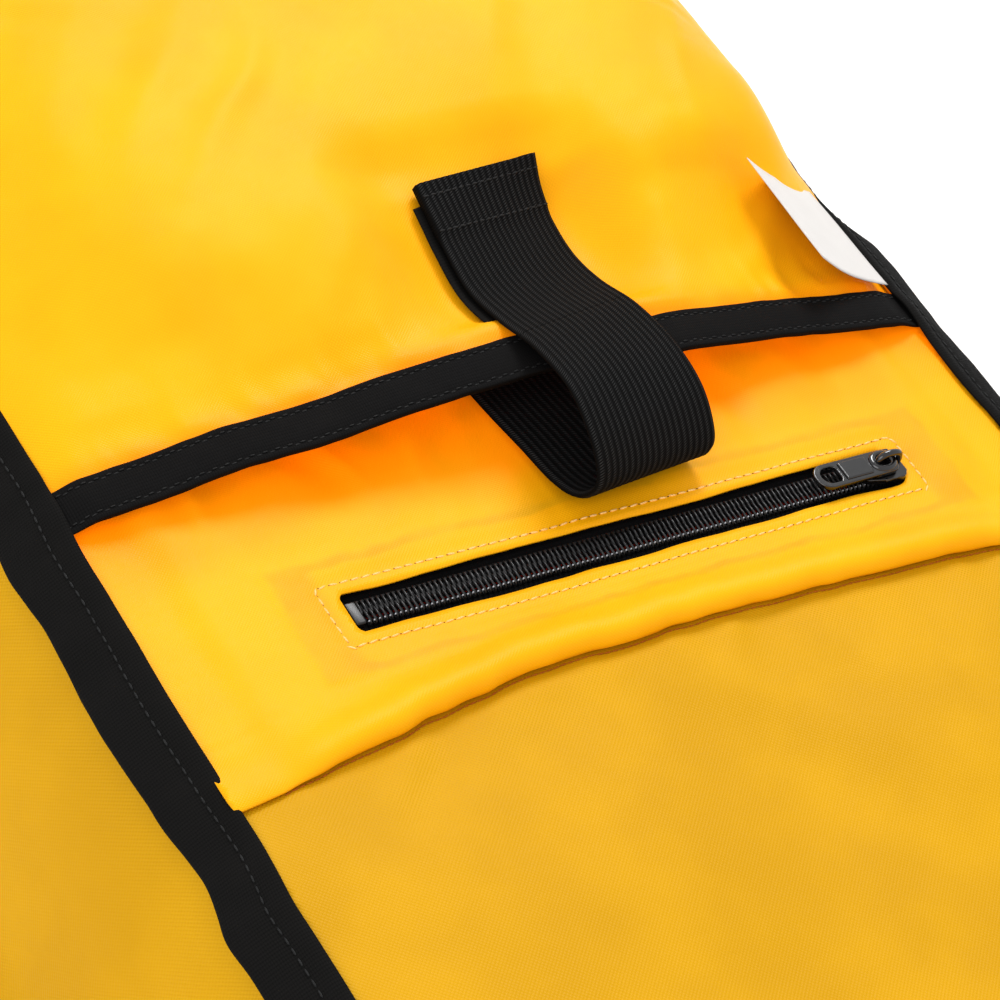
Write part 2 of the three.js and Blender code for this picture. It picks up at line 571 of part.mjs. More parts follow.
const tubeX = -collarRadius - gasketOffset - gasketThickness - portRadius - gap;
const elbowEnd = collarY + portRadius + 5;
add('oral_elbow', join(
  turnedX(rod(portRadius, tubeX, -collarRadius - portStart), [0, collarY, portHeight]),
  turnedY([[0, -portRadius], [portRadius * 0.8, -portRadius * 0.75], [portRadius, 0],
    [portRadius, elbowEnd - collarY], [0, elbowEnd - collarY]], [tubeX, collarY, portHeight])),
blackPlastic);
const tubeEnd = elbowEnd + gap + tubeLength;
const tubeAt = (y) => [tubeX, y, portHeight];
add('oral_tube', turnedY(rod(tubeRadius, elbowEnd + gap, tubeEnd), tubeAt(0), 12), blackPlastic);
const valveStart = tubeEnd + gap;
const bore = plungerRadius + 2 * gap;
add('oral_valve', turnedY([[0, 0], [valveRadius, 0], [valveRadius, valveLength],
  [bore, valveLength], [bore, 4], [0, 4]], tubeAt(valveStart), 16), blackPlastic);
add('oral_plunger', turnedY(rod(plungerRadius, 8, valveLength + 2), tubeAt(valveStart), 12), red);
const capInner = valveRadius + gap;
add('oral_cap', turnedY([[0, valveLength + 6], [capInner + capWall, valveLength + 6],
  [capInner + capWall, 5], [capInner, 5], [capInner, valveLength + 4], [0, valveLength + 4]],
tubeAt(valveStart), 16), blackPlastic);

// ---------- whistle and its elastic holder, on the collar ----------
const whistleX = collarRadius + Math.max(
  ...spaced(portHeight - whistleSize.z / 2 - 3, portHeight + whistleSize.z / 2 + 3, 6)
    .map(wallOffsetAt)) + 3 + 3 * gap;
const whistleY = collarY - whistleSize.y / 2;
const whistleZ = portHeight - whistleSize.z / 2;
add('whistle', prismX([
  V2(whistleY, whistleZ + 5), V2(whistleY + 6, whistleZ), V2(whistleY + whistleSize.y, whistleZ),
  V2(whistleY + whistleSize.y, whistleZ + whistleSize.z),
  V2(whistleY + 6, whistleZ + whistleSize.z), V2(whistleY, whistleZ + whistleSize.z - 2)],
whistleX, whistleSize.x, [
  rectangle(whistleY + 8, whistleY + 13, whistleZ + 11, whistleZ + 15),
  arc(whistleY + whistleSize.y - 5, portHeight, 2.2, 0, 330, 11)]), orange);
const holderWall = 1.4;
const loopIn = (d) => rounded(whistleX - d, whistleX + whistleSize.x + d,
  whistleZ - d, whistleZ + whistleSize.z + d, 0.8 + d);
add('whistle_holder', prismY(loopIn(2 * gap + holderWall), collarY - 12, 15, [loopIn(2 * gap)]),
  blackTape);

// ---------- waist belt ----------
// The sewn root leans along the side wall and clears its bulge.
const beltX = halfWidth + beltThickness + gap + Math.max(
  ...spaced(beltZ - beltWidth / 2, beltZ + beltWidth / 2, 8)
    .map((z) => wallOffsetAt(z) + (z - beltZ) * Math.tan(radians(beltLean))));
const beltY = hemY + beltReach;
const barX = buckleHalf - buckleBar / 2;
const wrap = buckleBar / 2 * Math.SQRT2 + beltThickness / 2 + 2 * gap;   // turn round a buckle bar
const buckleY = beltY - wrap;

// Plan of the right half: sewn root, side run, corner, far run, and the turn round the buckle bar.
function beltPlan() {
  const cornerX = beltX - beltCorner;
  const cornerY = beltY - beltCorner;
  return [
    V2(beltX, beltRootFrom), V2(beltX, beltRootTo),
    ...spaced(beltRootTo, beltUprightAt, 4).slice(1).map((y) => V2(beltX, y)),
    ...arc(cornerX, cornerY, beltCorner, 0, 90, 8),
    ...arc(barX, buckleY, wrap, 90, 270, 8),
    V2(barX + 9, buckleY - wrap)];
}
function beltHalf(side) {
  const plan = beltPlan();
  return loft(plan.map((p, i) => {
    const t = plan[Math.min(i + 1, plan.length - 1)].clone().sub(plan[Math.max(i - 1, 0)]).normalize();
    const lean = i > 5 ? 0 : radians(beltLean)
      * (1 - smooth((p.y - beltRootTo) / (beltUprightAt - beltRootTo)));
    const corner = (across, up) => {
      const level = across * beltThickness / 2 * Math.cos(lean) - up * beltWidth / 2 * Math.sin(lean);
      const z = beltZ + up * beltWidth / 2 * Math.cos(lean)
        + across * beltThickness / 2 * Math.sin(lean);
      return [side * (p.x + t.y * level), p.y - t.x * level, z];
    };
    return [corner(1, -1), corner(1, 1), corner(-1, 1), corner(-1, -1)];
  }));
}
add('belt_left', beltHalf(-1), blackTape);
add('belt_right', beltHalf(1), blackTape);

// Buckle, standing on edge: each half carries the belt on an end bar.
const buckleZ = [beltZ - buckleHeight / 2, beltZ + buckleHeight / 2];
const deep = (half2) => [buckleY - half2, buckleY + half2];
const buckleMeet = 2;             // mouth of the housing, right of centre
function endPiece(side, inner) {
  const span = (a, b) => [Math.min(side * a, side * b), Math.max(side * a, side * b)];
  const slotFrom = barX - wrap - beltThickness / 2 - 2 * gap;
  const pieces = [box(...span(inner, buckleHalf), ...deep(buckleDepth / 2), ...buckleZ)];
  const cuts = [
    box(...span(slotFrom, barX - buckleBar / 2), ...deep(20), beltZ - railIn, beltZ + railIn),
    ...[1, -1].map((s) => box(...span(slotFrom, buckleHalf + 5),
      Math.min(buckleY + s * buckleBar / 2, buckleY + s * 20),
      Math.max(buckleY + s * buckleBar / 2, buckleY + s * 20),
      beltZ - railIn, beltZ + railIn))];
  return cut(join(...pieces), ...cuts);
}
const prongY = 2.8;
const guide = { from: 9, to: 15 };
add('buckle_female', cut(endPiece(-1, -buckleMeet),
  box(-prongReach - 1, buckleMeet + 5, ...deep(prongY + gap), beltZ - guide.to - 3 * gap,
    beltZ + guide.to + 3 * gap),
  box(-prongReach + 2, -prongReach + 15, ...deep(prongY + gap), ...[buckleZ[0] - 5, buckleZ[1] + 5])),
blackPlastic);
add('buckle_male', join(endPiece(1, buckleMeet + gap),
  ...[1, -1].map((s) => box(-prongReach, buckleMeet + 3, ...deep(prongY),
    Math.min(beltZ + s * guide.from, beltZ + s * guide.to),
    Math.max(beltZ + s * guide.from, beltZ + s * guide.to))),
  box(-prongReach + 6, buckleMeet + 3, ...deep(prongY - 1), beltZ - 3, beltZ + 3)), blackPlastic);

const bars = beltThickness / 2 + gap;
const adjusterTo = -buckleHalf - 6;
const adjusterFrom = adjusterTo - adjusterLength;
const adjusterMid = (adjusterFrom + adjusterTo) / 2;
const nearBelt = (a, b) => [beltY + a, beltY + b];
add('belt_adjuster', join(
  box(adjusterFrom, adjusterTo, ...nearBelt(-bars - 2, bars + 2), beltZ + railIn,
    beltZ + railIn + adjusterRail),
  box(adjusterFrom, adjusterTo, ...nearBelt(-bars - 2, bars + 2), beltZ - railIn - adjusterRail,
    beltZ - railIn),
  box(adjusterFrom, adjusterFrom + 3, ...nearBelt(bars, bars + 2), beltZ - railIn - 1, beltZ + railIn + 1),
  box(adjusterTo - 3, adjusterTo, ...nearBelt(bars, bars + 2), beltZ - railIn - 1, beltZ + railIn + 1),
  box(adjusterMid - 2, adjusterMid + 2, ...nearBelt(-bars - 2, -bars),
    beltZ - railIn - 1, beltZ + railIn + 1)), blackPlastic);
const keeperIn = (d) => rounded(beltX - bars - d, beltX + bars + d, beltZ - railIn - d, beltZ + railIn + d,
  0.4 + d);
add('belt_keeper', prismY(keeperIn(keeperWall), beltUprightAt + 4, keeperLength, [keeperIn(0)]), blackTape);

// ---------- crotch strap ring at the hem ----------
const tabRoot = hemY + coverOverhang + 2 * gap;
const barY = tabRoot + 20;
const barZ = ringWire + gap + fabric + 2 * gap;
const tabHalf = tabWidth / 2;
add('ring_tab', cut(join(
  prismX(rectangle(tabRoot, barY - 2, bindingThickness + gap, bindingThickness + gap + fabric),
    -tabHalf, tabWidth),
  turnedX(rod(ringWire + gap + fabric, -tabHalf, tabHalf), [0, barY, barZ], 16)),
turnedX(rod(ringWire + gap, -tabHalf - 5, tabHalf + 5), [0, barY, barZ], 12)), blackTape);
const ringHalf = ringInner / 2 + ringWire;
const ringLine = [V2(-ringHalf, barY), V2(ringHalf, barY),
  ...spaced(0, 180, 12).map((a) => V2(ringHalf * Math.cos(radians(a)),
    barY + 3 + ringReach * Math.sin(radians(a))))];
add('d_ring', sweepRound(ringLine, spaced(0, 360, 8).slice(0, -1).map((a) =>
  [ringWire * Math.cos(radians(a)), barZ + ringWire * Math.sin(radians(a))])), steel);

// ---------- reflective patches and hanging loop on the collar lining ----------
const patchMid = (neckRadius + collarRadius) / 2;
for (const [side, sign] of [['left', -1], ['right', 1]]) {
  add(`reflective_${side}`, prismZ(rounded(sign * patchMid - 18, sign * patchMid + 18,
    collarY - 35, collarY + 35, 4), bodyHeight + gap, 0.6), silver);
}
const collarBack = collarY - collarRadius;
const hangerY = collarY - neckRadius - 22;
add('reflective_neck', prismZ(rounded(-35, 35, collarBack + 17, hangerY - 7, 3),
  bodyHeight + gap, 0.6), silver);
const loopLine = new THREE.SplineCurve([V2(-27, 0.8), V2(-17, 0.8), V2(-9, 6), V2(0, 11), V2(9, 6),
  V2(17, 0.8), V2(27, 0.8)]).getPoints(18);
add('hanger_loop', prismY(lifted(band(loopLine, -0.8, 0.8), bodyHeight + 2 * gap), hangerY, 12),
  blackTape);

export default jacket;
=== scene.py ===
# %% [markdown]
# # An inflatable life jacket, inner face up
# The jacket lies on its front, so the face that is worn against the body is on top: a pocket
# with an elastic mouth, a closure strap, a zipped panel and black bound edges. The CAD model gives
# every piece its size and place. Here each piece gets its cloth, threads and shine. The frame is
# loaded once and never moved, because the joints are tested on it.

# %% Load the frame
import math
import bpy
import numpy as np
from mathutils import Matrix, Vector
from mathutils.geometry import delaunay_2d_cdt


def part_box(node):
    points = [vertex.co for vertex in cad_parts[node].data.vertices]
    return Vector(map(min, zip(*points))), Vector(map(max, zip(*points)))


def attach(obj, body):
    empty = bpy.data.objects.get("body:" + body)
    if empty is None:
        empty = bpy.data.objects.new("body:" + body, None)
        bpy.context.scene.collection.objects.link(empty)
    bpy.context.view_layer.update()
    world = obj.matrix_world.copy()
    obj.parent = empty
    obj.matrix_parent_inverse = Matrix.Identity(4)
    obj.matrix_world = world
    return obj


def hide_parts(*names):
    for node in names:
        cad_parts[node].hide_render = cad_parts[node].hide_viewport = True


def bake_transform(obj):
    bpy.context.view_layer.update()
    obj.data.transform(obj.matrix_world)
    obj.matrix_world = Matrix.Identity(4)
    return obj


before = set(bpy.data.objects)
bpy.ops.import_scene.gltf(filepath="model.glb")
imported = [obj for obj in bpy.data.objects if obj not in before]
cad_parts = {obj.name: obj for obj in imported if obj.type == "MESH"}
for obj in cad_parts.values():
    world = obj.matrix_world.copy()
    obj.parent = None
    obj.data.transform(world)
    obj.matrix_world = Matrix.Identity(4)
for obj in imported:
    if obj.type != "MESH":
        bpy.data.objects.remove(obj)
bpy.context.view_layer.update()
MM = 0.001

# %% [markdown]
# ## Sizes
# A maker measures the frame before cutting cloth. Most sizes below are read from the boxes of the
# CAD nodes, and all are kept in millimetres, because sewing is thought of in millimetres. The
# insets say how far a panel's raw edge stays inside the jacket's edge, where the binding covers it.

# %% Read the sizes off the frame
def span(node):
    """Lowest and highest corner of a CAD node, in millimetres."""
    low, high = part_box(node)
    return np.array(low) / MM, np.array(high) / MM


HALF, HEM, TOP = span("lining_zip_panel")[1]
COLLAR_R = span("lining_collar")[1][0]
COLLAR_Y = span("lining_collar")[0][1] + COLLAR_R
NECK_WALL_REACH = 2.4
NECK_R = span("wall_neck")[1][0] - NECK_WALL_REACH
OVERHANG = span("front_cover")[1][1] - HEM
MOUTH_FROM, MOUTH_TO = span("mouth_binding")[0][1], span("mouth_binding")[1][1]
tape_low, tape_high = span("zip_tape_upper")
TAPE_BEYOND_SLOT = 14
ZIP_FROM, ZIP_TO = tape_low[0] + TAPE_BEYOND_SLOT, tape_high[0] - TAPE_BEYOND_SLOT
ZIP_HALF = 5.5
HEM_RADIUS = 38
PANEL_INSET, LINING_INSET = 0.4, 0.6
WALL_LOW, WALL_HIGH = 2.1, TOP - 1.9
BELT_WIDE, BELT_THICK = 38, 2
BELT_LEAN = math.radians(17)
BELT_X = (span("belt_right")[1][0] - BELT_THICK / 2 * math.cos(BELT_LEAN) - BELT_WIDE / 2
        * math.sin(BELT_LEAN))
print("lining", 2 * HALF, "mm wide, top at", round(TOP, 1), "zip", ZIP_FROM, ZIP_TO)

# %% [markdown]
# ## Small sewing tools
# Cloth is never flat. A smooth random height field gives humps, and the same field stretched
# along one direction gives folds. Numpy works on all the points at once, which is far quicker
# than moving vertices one at a time.

# %% Smooth steps, humps and folds
field = np.random.default_rng(11).uniform(-1, 1, (97, 89))


def ease(t):
    """Goes smoothly from 0 to 1."""
    t = np.clip(t, 0, 1)
    return t * t * (3 - 2 * t)


def humps(x, y, size, shift=0.0):
    """A smooth random height from -1 to 1, with humps `size` apart."""
    u, v = np.broadcast_arrays(np.asarray(x, float) / size + shift * 7.31, np.asarray(y, float) / size
            + shift * 3.17)
    i, j = np.floor(u).astype(int), np.floor(v).astype(int)
    a, b = ease(u - i), ease(v - j)

    def at(p, q):
        return field[p % field.shape[0], q % field.shape[1]]

    near = at(i, j) * (1 - a) + at(i + 1, j) * a
    far = at(i, j + 1) * (1 - a) + at(i + 1, j + 1) * a
    return near * (1 - b) + far * b


def folds(x, y, angle, length, width, shift=0.0, sharp=0.15):
    """Long folds that run at `angle` degrees from X, about -1 to 1, creased along their tops."""
    c, s = math.cos(math.radians(angle)), math.sin(math.radians(angle))
    along, across = x * c + y * s, -x * s + y * c
    across = across + 0.5 * width * humps(along, across, length * 0.6, shift + 5)
    n = humps(along / length * width, across, width, shift)
    return 1 - 2 * np.sqrt(n * n + sharp * sharp)


def run_along(points):
    """Distance run along a line at each of its points."""
    return np.r_[0, np.cumsum(np.linalg.norm(np.diff(points, axis=0), axis=1))]


def between(a, b, c, d, t):
    """A point a share `t` of the way from b to c, on a smooth curve through all four."""
    return 0.5 * (2 * b + (c - a) * t + (2 * a - 5 * b + 4 * c - d) * t ** 2 + (3 * b - a - 3 * c + d)
            * t ** 3)


def curve_through(points, count):
    """An even run of `count` points on a smooth curve through `points`."""
    p = np.asarray(points, float)
    p = np.vstack([2 * p[0] - p[1], p, 2 * p[-1] - p[-2]])
    run = []
    for a, b, c, d in zip(p, p[1:], p[2:], p[3:]):
        for t in np.linspace(0, 1, 16, endpoint=False):
            run.append(between(a, b, c, d, t))
    run = np.array(run + [p[-2]])
    along = run_along(run)
    even = np.linspace(0, along[-1], count)
    return np.stack([np.interp(even, along, run[:, k]) for k in range(p.shape[1])], -1)


print("humps at the origin:", round(float(humps(0, 0, 10)), 3))

# %% [markdown]
# ## Meshes from points
# A piece is a list of points and faces. The flat pattern position of each point goes into a UV
# map called "cloth", in metres, so that weave and ribs follow the cloth and keep their real size.
# Solidify then gives the sheet its thickness, and `settle` makes the result a plain mesh.

# %% Make, thicken and settle a mesh
def piece(name, points, faces, finish, uv=None, smooth=True):
    """A new object from points in millimetres."""
    mesh = bpy.data.meshes.new(name)
    mesh.from_pydata((np.asarray(points, float).reshape(-1, 3) * MM).tolist(), [],
            [[int(k) for k in f] for f in faces])
    if uv is not None:
        layer = mesh.uv_layers.new(name="cloth")
        corner = np.zeros(len(mesh.loops), int)
        mesh.loops.foreach_get("vertex_index", corner)
        flat = np.asarray(uv, float).reshape(-1, 2)[corner] * MM
        layer.data.foreach_set("uv", flat.ravel())
    mesh.polygons.foreach_set("use_smooth", [smooth] * len(mesh.polygons))
    obj = bpy.data.objects.new(name, mesh)
    bpy.context.scene.collection.objects.link(obj)
    obj.data.materials.append(finish)
    return obj


def grid_faces(rows, columns, round_rows=False, round_columns=False):
    """Quads of a grid of points, closed on itself where asked."""
    index = np.arange(rows * columns).reshape(rows, columns)
    if round_rows:
        index = np.vstack([index, index[:1]])
    if round_columns:
        index = np.hstack([index, index[:, :1]])
    return np.stack([index[:-1, :-1], index[1:, :-1], index[1:, 1:], index[:-1, 1:]], -1).reshape(-1, 4)


def slab_faces(rows, around):
    """Faces of a long slab with closed ends, whose section of `around` points runs there and back."""
    faces = grid_faces(rows, around, round_columns=True).tolist()
    faces += [[j, j + 1, around - 2 - j, around - 1 - j] for j in range(around // 2 - 1)]
    last = (rows - 1) * around
    faces += [[last + j, last + around - 1 - j, last + around - 2 - j, last + j + 1]
            for j in range(around // 2 - 1)]
    return faces


def shade_smooth(obj):
    """Lets light run smoothly over the faces."""
    obj.data.polygons.foreach_set("use_smooth", [True] * len(obj.data.polygons))


def dress(obj, finish):
    """Gives a mesh one finish in place of any it has."""
    obj.data.materials.clear()
    obj.data.materials.append(finish)


def settle(obj):
    """Keeps what the modifiers show as a plain mesh and takes them off."""
    bpy.context.view_layer.update()
    shown = obj.evaluated_get(bpy.context.evaluated_depsgraph_get())
    mesh = bpy.data.meshes.new_from_object(shown)
    obj.modifiers.clear()
    obj.data = mesh
    return obj


def modify(obj, kind, **settings):
    """Adds one modifier and sets it."""
    modifier = obj.modifiers.new(kind.lower(), kind)
    for key, value in settings.items():
        setattr(modifier, key, value)
    return modifier


def rounded(obj, width, segments=3, angle=50):
    """Rounds the edges that turn by more than `angle` degrees."""
    modify(obj, "BEVEL", width=width * MM, segments=segments, limit_method="ANGLE",
            angle_limit=math.radians(angle), harden_normals=True)
    return settle(obj)


def thicken(obj, thickness):
    """Gives a sheet its thickness, behind its faces."""
    modify(obj, "SOLIDIFY", thickness=thickness * MM, offset=-1, use_even_offset=True,
            use_quality_normals=True)
    return settle(obj)


def outwards(obj):
    """Turns the faces of a closed mesh outwards."""
    co = np.zeros(len(obj.data.vertices) * 3)
    obj.data.vertices.foreach_get("co", co)
    co = co.reshape(-1, 3)
    obj.data.calc_loop_triangles()
    corners = np.zeros(len(obj.data.loop_triangles) * 3, int)
    obj.data.loop_triangles.foreach_get("vertices", corners)
    a, b, c = (co[corners.reshape(-1, 3)[:, k]] for k in range(3))
    if np.einsum("ij,ij->i", a, np.cross(b, c)).sum() < 0:
        obj.data.flip_normals()
    return obj


def sewn(obj, body, slot, *nodes):
    """Rides a finished piece on its body and hides the CAD nodes it stands for; `slot` is not used."""
    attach(obj, body)
    if nodes:
        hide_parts(*nodes)
    print(f"{obj.name}: {len(obj.data.polygons)} faces on {body}")
    return obj


# %% [markdown]
# ## Shader arithmetic
# A procedural finish is arithmetic on the position of a point. The class below wraps a socket, so
# that `1 - mask * 0.5` adds the Math nodes. The Finish class holds one material, and one method
# adds any other node.

# %% Socket arithmetic and the Finish class
class Reading:
    """A node socket that takes part in sums."""

    def __init__(self, finish, socket):
        self.finish, self.socket = finish, socket

    def math(self, operation, *values):
        made = self.finish.add("ShaderNodeMath", {"operation": operation}, dict(enumerate(values)))
        return Reading(self.finish, made.outputs[0])

    def __add__(self, other): return self.math("ADD", self, other)
    def __radd__(self, other): return self.math("ADD", other, self)
    def __sub__(self, other): return self.math("SUBTRACT", self, other)
    def __rsub__(self, other): return self.math("SUBTRACT", other, self)
    def __mul__(self, other): return self.math("MULTIPLY", self, other)
    def __rmul__(self, other): return self.math("MULTIPLY", other, self)
    def sine(self): return self.math("SINE", self)
    def size(self): return self.math("ABSOLUTE", self)
    def power(self, other): return self.math("POWER", self, other)
    def above(self, level, softness): return self.band(level - softness, level + softness)

    def band(self, low, high):
        made = self.finish.add("ShaderNodeMapRange", {"interpolation_type": "SMOOTHSTEP"},
                {"Value": self, "From Min": low, "From Max": high})
        return Reading(self.finish, made.outputs["Result"])


class Finish:
    """One material, built from nodes. Even values are set on the shader itself."""

    def __init__(self, name, **even):
        self.material = bpy.data.materials.new(name)
        self.material.use_nodes = True
        self.tree = self.material.node_tree
        self.shader = self.tree.nodes["Principled BSDF"]
        for key, value in even.items():
            self.shader.inputs[key.replace("_", " ")].default_value = value

    def add(self, kind, settings, sockets):
        """Any node: its settings first, then values or links for its sockets."""
        made = self.tree.nodes.new(kind)
        for key, value in settings.items():
            if key == "stops":
                ramp = made.color_ramp.elements
                while len(ramp) < len(value):
                    ramp.new(1)
                for stop, (place, colour) in zip(ramp, value):
                    stop.position, stop.color = place, (*colour, 1)
            else:
                setattr(made, key, value)
        for key, value in sockets.items():
            if isinstance(value, Reading):
                self.tree.links.new(value.socket, made.inputs[key])
            else:
                made.inputs[key].default_value = value
        return made

    def place(self):
        """Where a point is on the object."""
        return Reading(self, self.add("ShaderNodeTexCoord", {}, {}).outputs["Object"])

    def cloth(self):
        """Where a point is on the flat cloth, in metres."""
        return Reading(self, self.add("ShaderNodeUVMap", {"uv_map": "cloth"}, {}).outputs["UV"])

    def parts(self, vector):
        """The three numbers of a position."""
        made = self.add("ShaderNodeSeparateXYZ", {}, {"Vector": vector})
        return [Reading(self, out) for out in made.outputs]

    def cloud(self, where, size, detail=2.0, stretch=(1, 1, 1)):
        """Smooth random values from 0 to 1, with patches `size` millimetres wide."""
        moved = self.add("ShaderNodeMapping", {}, {"Vector": where, "Scale": stretch})
        made = self.add("ShaderNodeTexNoise", {}, {"Vector": Reading(self, moved.outputs[0]), "Scale": 1
                / (size * MM), "Detail": detail})
        return Reading(self, made.outputs["Fac"])

    def mix(self, factor, first, second):
        """Blends two colours."""
        made = self.add("ShaderNodeMix", {"data_type": "RGBA"}, {0: factor, 6: first, 7: second})
        return Reading(self, made.outputs[2])

    def show(self, **varying):
        """Feeds what varies to the shader."""
        for key, value in varying.items():
            self.tree.links.new(value.socket, self.shader.inputs[key.replace("_", " ")])
        return self.material

    def relief(self, height, depth):
        """Turns a height from 0 to 1 into bumps `depth` millimetres deep."""
        made = self.add("ShaderNodeBump", {}, {"Height": height, "Distance": depth * MM, "Strength": 1.0})
        return Reading(self, made.outputs[0])


def tone(red, green, blue):
    """A colour given as the eye reads it, 0 to 255, for a shader socket."""
    def linear(c):
        c /= 255
        return c / 12.92 if c < 0.04045 else ((c + 0.055) / 1.055) ** 2.4
    return (linear(red), linear(green), linear(blue), 1.0)


# %% [markdown]
# ## Cloth finishes
# Coated nylon is a plain weave: one thread goes over, the next goes under. The product of two
# sines gives that checker of thread tops. A soft sheen and slow patches of tone keep it from
# looking like paint. Where the dark zip tape lies under the thin cloth it shows through as an
# olive shadow, so that is a mask in the same finish. Beside the mouth band light comes through
# the thin cloth and turns it orange; that strip is painted and made slightly luminous.

# %% Nylon for the panels
def nylon(name, light, deep, thread=0.42, roughness=0.42, weave=0.05, zip_shadow=False, glow=None,
        light_through=0.75):
    """Plain-weave nylon with a slow change of tone and, where asked, the zip tape's shadow."""
    f = Finish(name, Specular_IOR_Level=0.09, Emission_Strength=light_through if glow else 0.0)
    where = f.cloth()
    x, y, _ = f.parts(where)
    turn = math.pi / (thread * MM)
    over = (x * turn).sine() * (y * turn).sine()
    patches = f.cloud(where, 38, 3)
    fine = f.cloud(where, 2.2, 2)
    shade = patches.band(0.32, 0.68)
    colour = f.mix(shade, deep, light)
    # Half of the weave's checker is painted a darker orange: painted shade between the thread tops.
    colour = f.mix((over * 0.5 + 0.5) * 0.16, colour, tone(196, 120, 10))
    if zip_shadow:
        wander = (f.cloud(where, 16, 2) - 0.5) * 0.006
        low, high = tape_low[0] * MM, tape_high[0] * MM
        middle, reach = (low + high) / 2, (high - low) / 2
        over_tape = 1 - ((x - middle).size() + wander).above(reach - 0.001, 0.0012)
        across = (y.size() + wander)
        inside = 1 - across.above(0.0158, 0.0011)
        hem = across.above(0.0136, 0.0009)
        ends = ((x - middle).size()).above(reach - 0.011, 0.003)
        faint = over_tape * inside * ((hem + ends).band(0.0, 1.0) * 0.5 + 0.06)
        worn = f.cloud(where, 15, 2).band(0.3, 0.7)
        colour = f.mix(faint * (worn * 0.6 + 0.4), colour, tone(200, 146, 14))
    if glow:
        patchy = f.cloud(where, 22, 2).band(0.3, 0.7)
        shaded = y.band(*glow) * (1 - y.band(0.064, 0.074)) * (patchy * 0.45 + 0.4)
        colour = f.mix(shaded, colour, tone(255, 118, 0))
        f.show(Emission_Color=f.mix(shaded, tone(0, 0, 0), tone(255, 116, 0)))
    rough = fine * 0.14 + patches * 0.10 + (roughness - 0.12)
    bumps = over * 0.5 + fine * 0.5
    return f.show(Base_Color=colour, Roughness=rough, Normal=f.relief(bumps, weave))


panel_cloth = nylon("panel nylon", tone(255, 182, 10), tone(255, 173, 6), zip_shadow=True,
        glow=(0.016, 0.037))
pouch_cloth = nylon("pouch nylon", tone(255, 180, 10), tone(255, 171, 6), glow=(0.060, 0.050),
        light_through=0.3)
cover_cloth = nylon("cover nylon", tone(212, 159, 10), tone(202, 150, 6), thread=0.5, roughness=0.5,
        weave=0.08)
print("finishes so far:", len(bpy.data.materials))

# %% [markdown]
# Black tape, elastic and webbing differ in their ribs. Tape has fine cross ribs, elastic has cords
# along its length with small slanted stitches between them, and webbing has a herringbone. The rib
# tops are painted a little grey and the grooves nearly black: painted highlight and shade.

# %% Tape, elastic, webbing and thread
def ribbed(name, across, along, slant=0.0, top=(17, 16, 16), low=(3, 3, 3), depth=0.12, roughness=0.8,
        dust=0.25, painted_glints=0.0):
    """Black narrow fabric. `across` and `along` are rib spacings in millimetres."""
    f = Finish(name, Specular_IOR_Level=0.06)
    where = f.cloth()
    x, y, _ = f.parts(where)
    cords = ((x * (math.pi / (across * MM))).sine()).size()
    stitches = ((y * (math.pi / (along * MM))) + (x * (slant * math.pi / (across * MM)))).sine().size()
    height = cords.power(0.5) * 0.5 + stitches * 0.5
    fuzz = f.cloud(where, 0.9, 3)
    worn = f.cloud(where, 14, 3).band(0.45, 0.8)
    # Painted highlight and shade: rib tops take the grey top colour and grooves the near-black low
    # colour.
    colour = f.mix(height * 0.75 + fuzz * 0.25, tone(*low), tone(*top))
    colour = f.mix(worn * dust, colour, tone(26, 24, 23))
    # Painted highlight: grey glints where cords and stitches both stand highest on the knit.
    if painted_glints:
        colour = f.mix((cords * stitches).band(0.55, 0.95) * (fuzz * 0.8 + 0.2) * painted_glints, colour,
                tone(74, 74, 74))
    rough = fuzz * 0.2 + (roughness - 0.1)
    return f.show(Base_Color=colour, Roughness=rough, Normal=f.relief(height + fuzz * 0.35, depth))


tape_cloth = ribbed("binding tape", 0.55, 0.8, depth=0.1, top=(21, 20, 19), low=(5, 5, 5))
band_cloth = ribbed("elastic band", 0.9, 0.6, depth=0.10, top=(17, 16, 16), low=(5, 5, 5))
strap_cloth = ribbed("elastic strap", 1.85, 0.62, slant=1.3, depth=0.3, painted_glints=0.55, top=(15, 15, 15),
        low=(2, 2, 2), dust=0.1)
web_cloth = ribbed("belt webbing", 1.6, 1.1, slant=2.0, depth=0.2, top=(20, 20, 21), painted_glints=0.35)
zip_cloth = ribbed("zip tape", 1.3, 0.8, slant=1.6, depth=0.12, top=(17, 17, 18), low=(3, 3, 3))


def thread(name, light, dark, roughness=0.5):
    """Sewing thread, twisted from finer strands."""
    f = Finish(name, Specular_IOR_Level=0.3)
    where = f.place()
    x, y, _ = f.parts(where)
    twist = ((x + y) * (math.pi / (0.28 * MM))).sine() * 0.5 + 0.5
    tint = f.cloud(where, 5, 2)
    # Painted shade and highlight: the twist is striped darker and lighter; the slow tint varies at
    # random.
    return f.show(Base_Color=f.mix(twist * 0.5 + tint * 0.4, light, dark), Roughness=tint * 0.2
            + (roughness - 0.1), Normal=f.relief(twist, 0.03))


yellow_thread = thread("cream thread", tone(255, 226, 150), tone(246, 160, 50))
black_thread = thread("black thread", tone(24, 24, 24), tone(6, 6, 6), 0.7)
white_thread = thread("bright thread", tone(188, 190, 196), tone(120, 122, 128), 0.3)
# Painted shade for the dips beside the topstitching, a dark brown-orange finish.
painted_hole_shade = thread("painted hole shade", tone(120, 62, 6), tone(86, 42, 4), 0.8)
# Painted shade for the crease under the panel's fold, a brown-orange finish.
seam_shade_finish = thread("painted seam shade", tone(190, 104, 8), tone(150, 70, 4), 0.8)
print("finishes so far:", len(bpy.data.materials))

# %% [markdown]
# Moulded plastic carries a very fine orange-peel skin and faint scuffs. Enamelled metal is much
# smoother, and its edges wear. One recipe with a few numbers covers both, and the shine that is
# even all over is set on the shader itself.

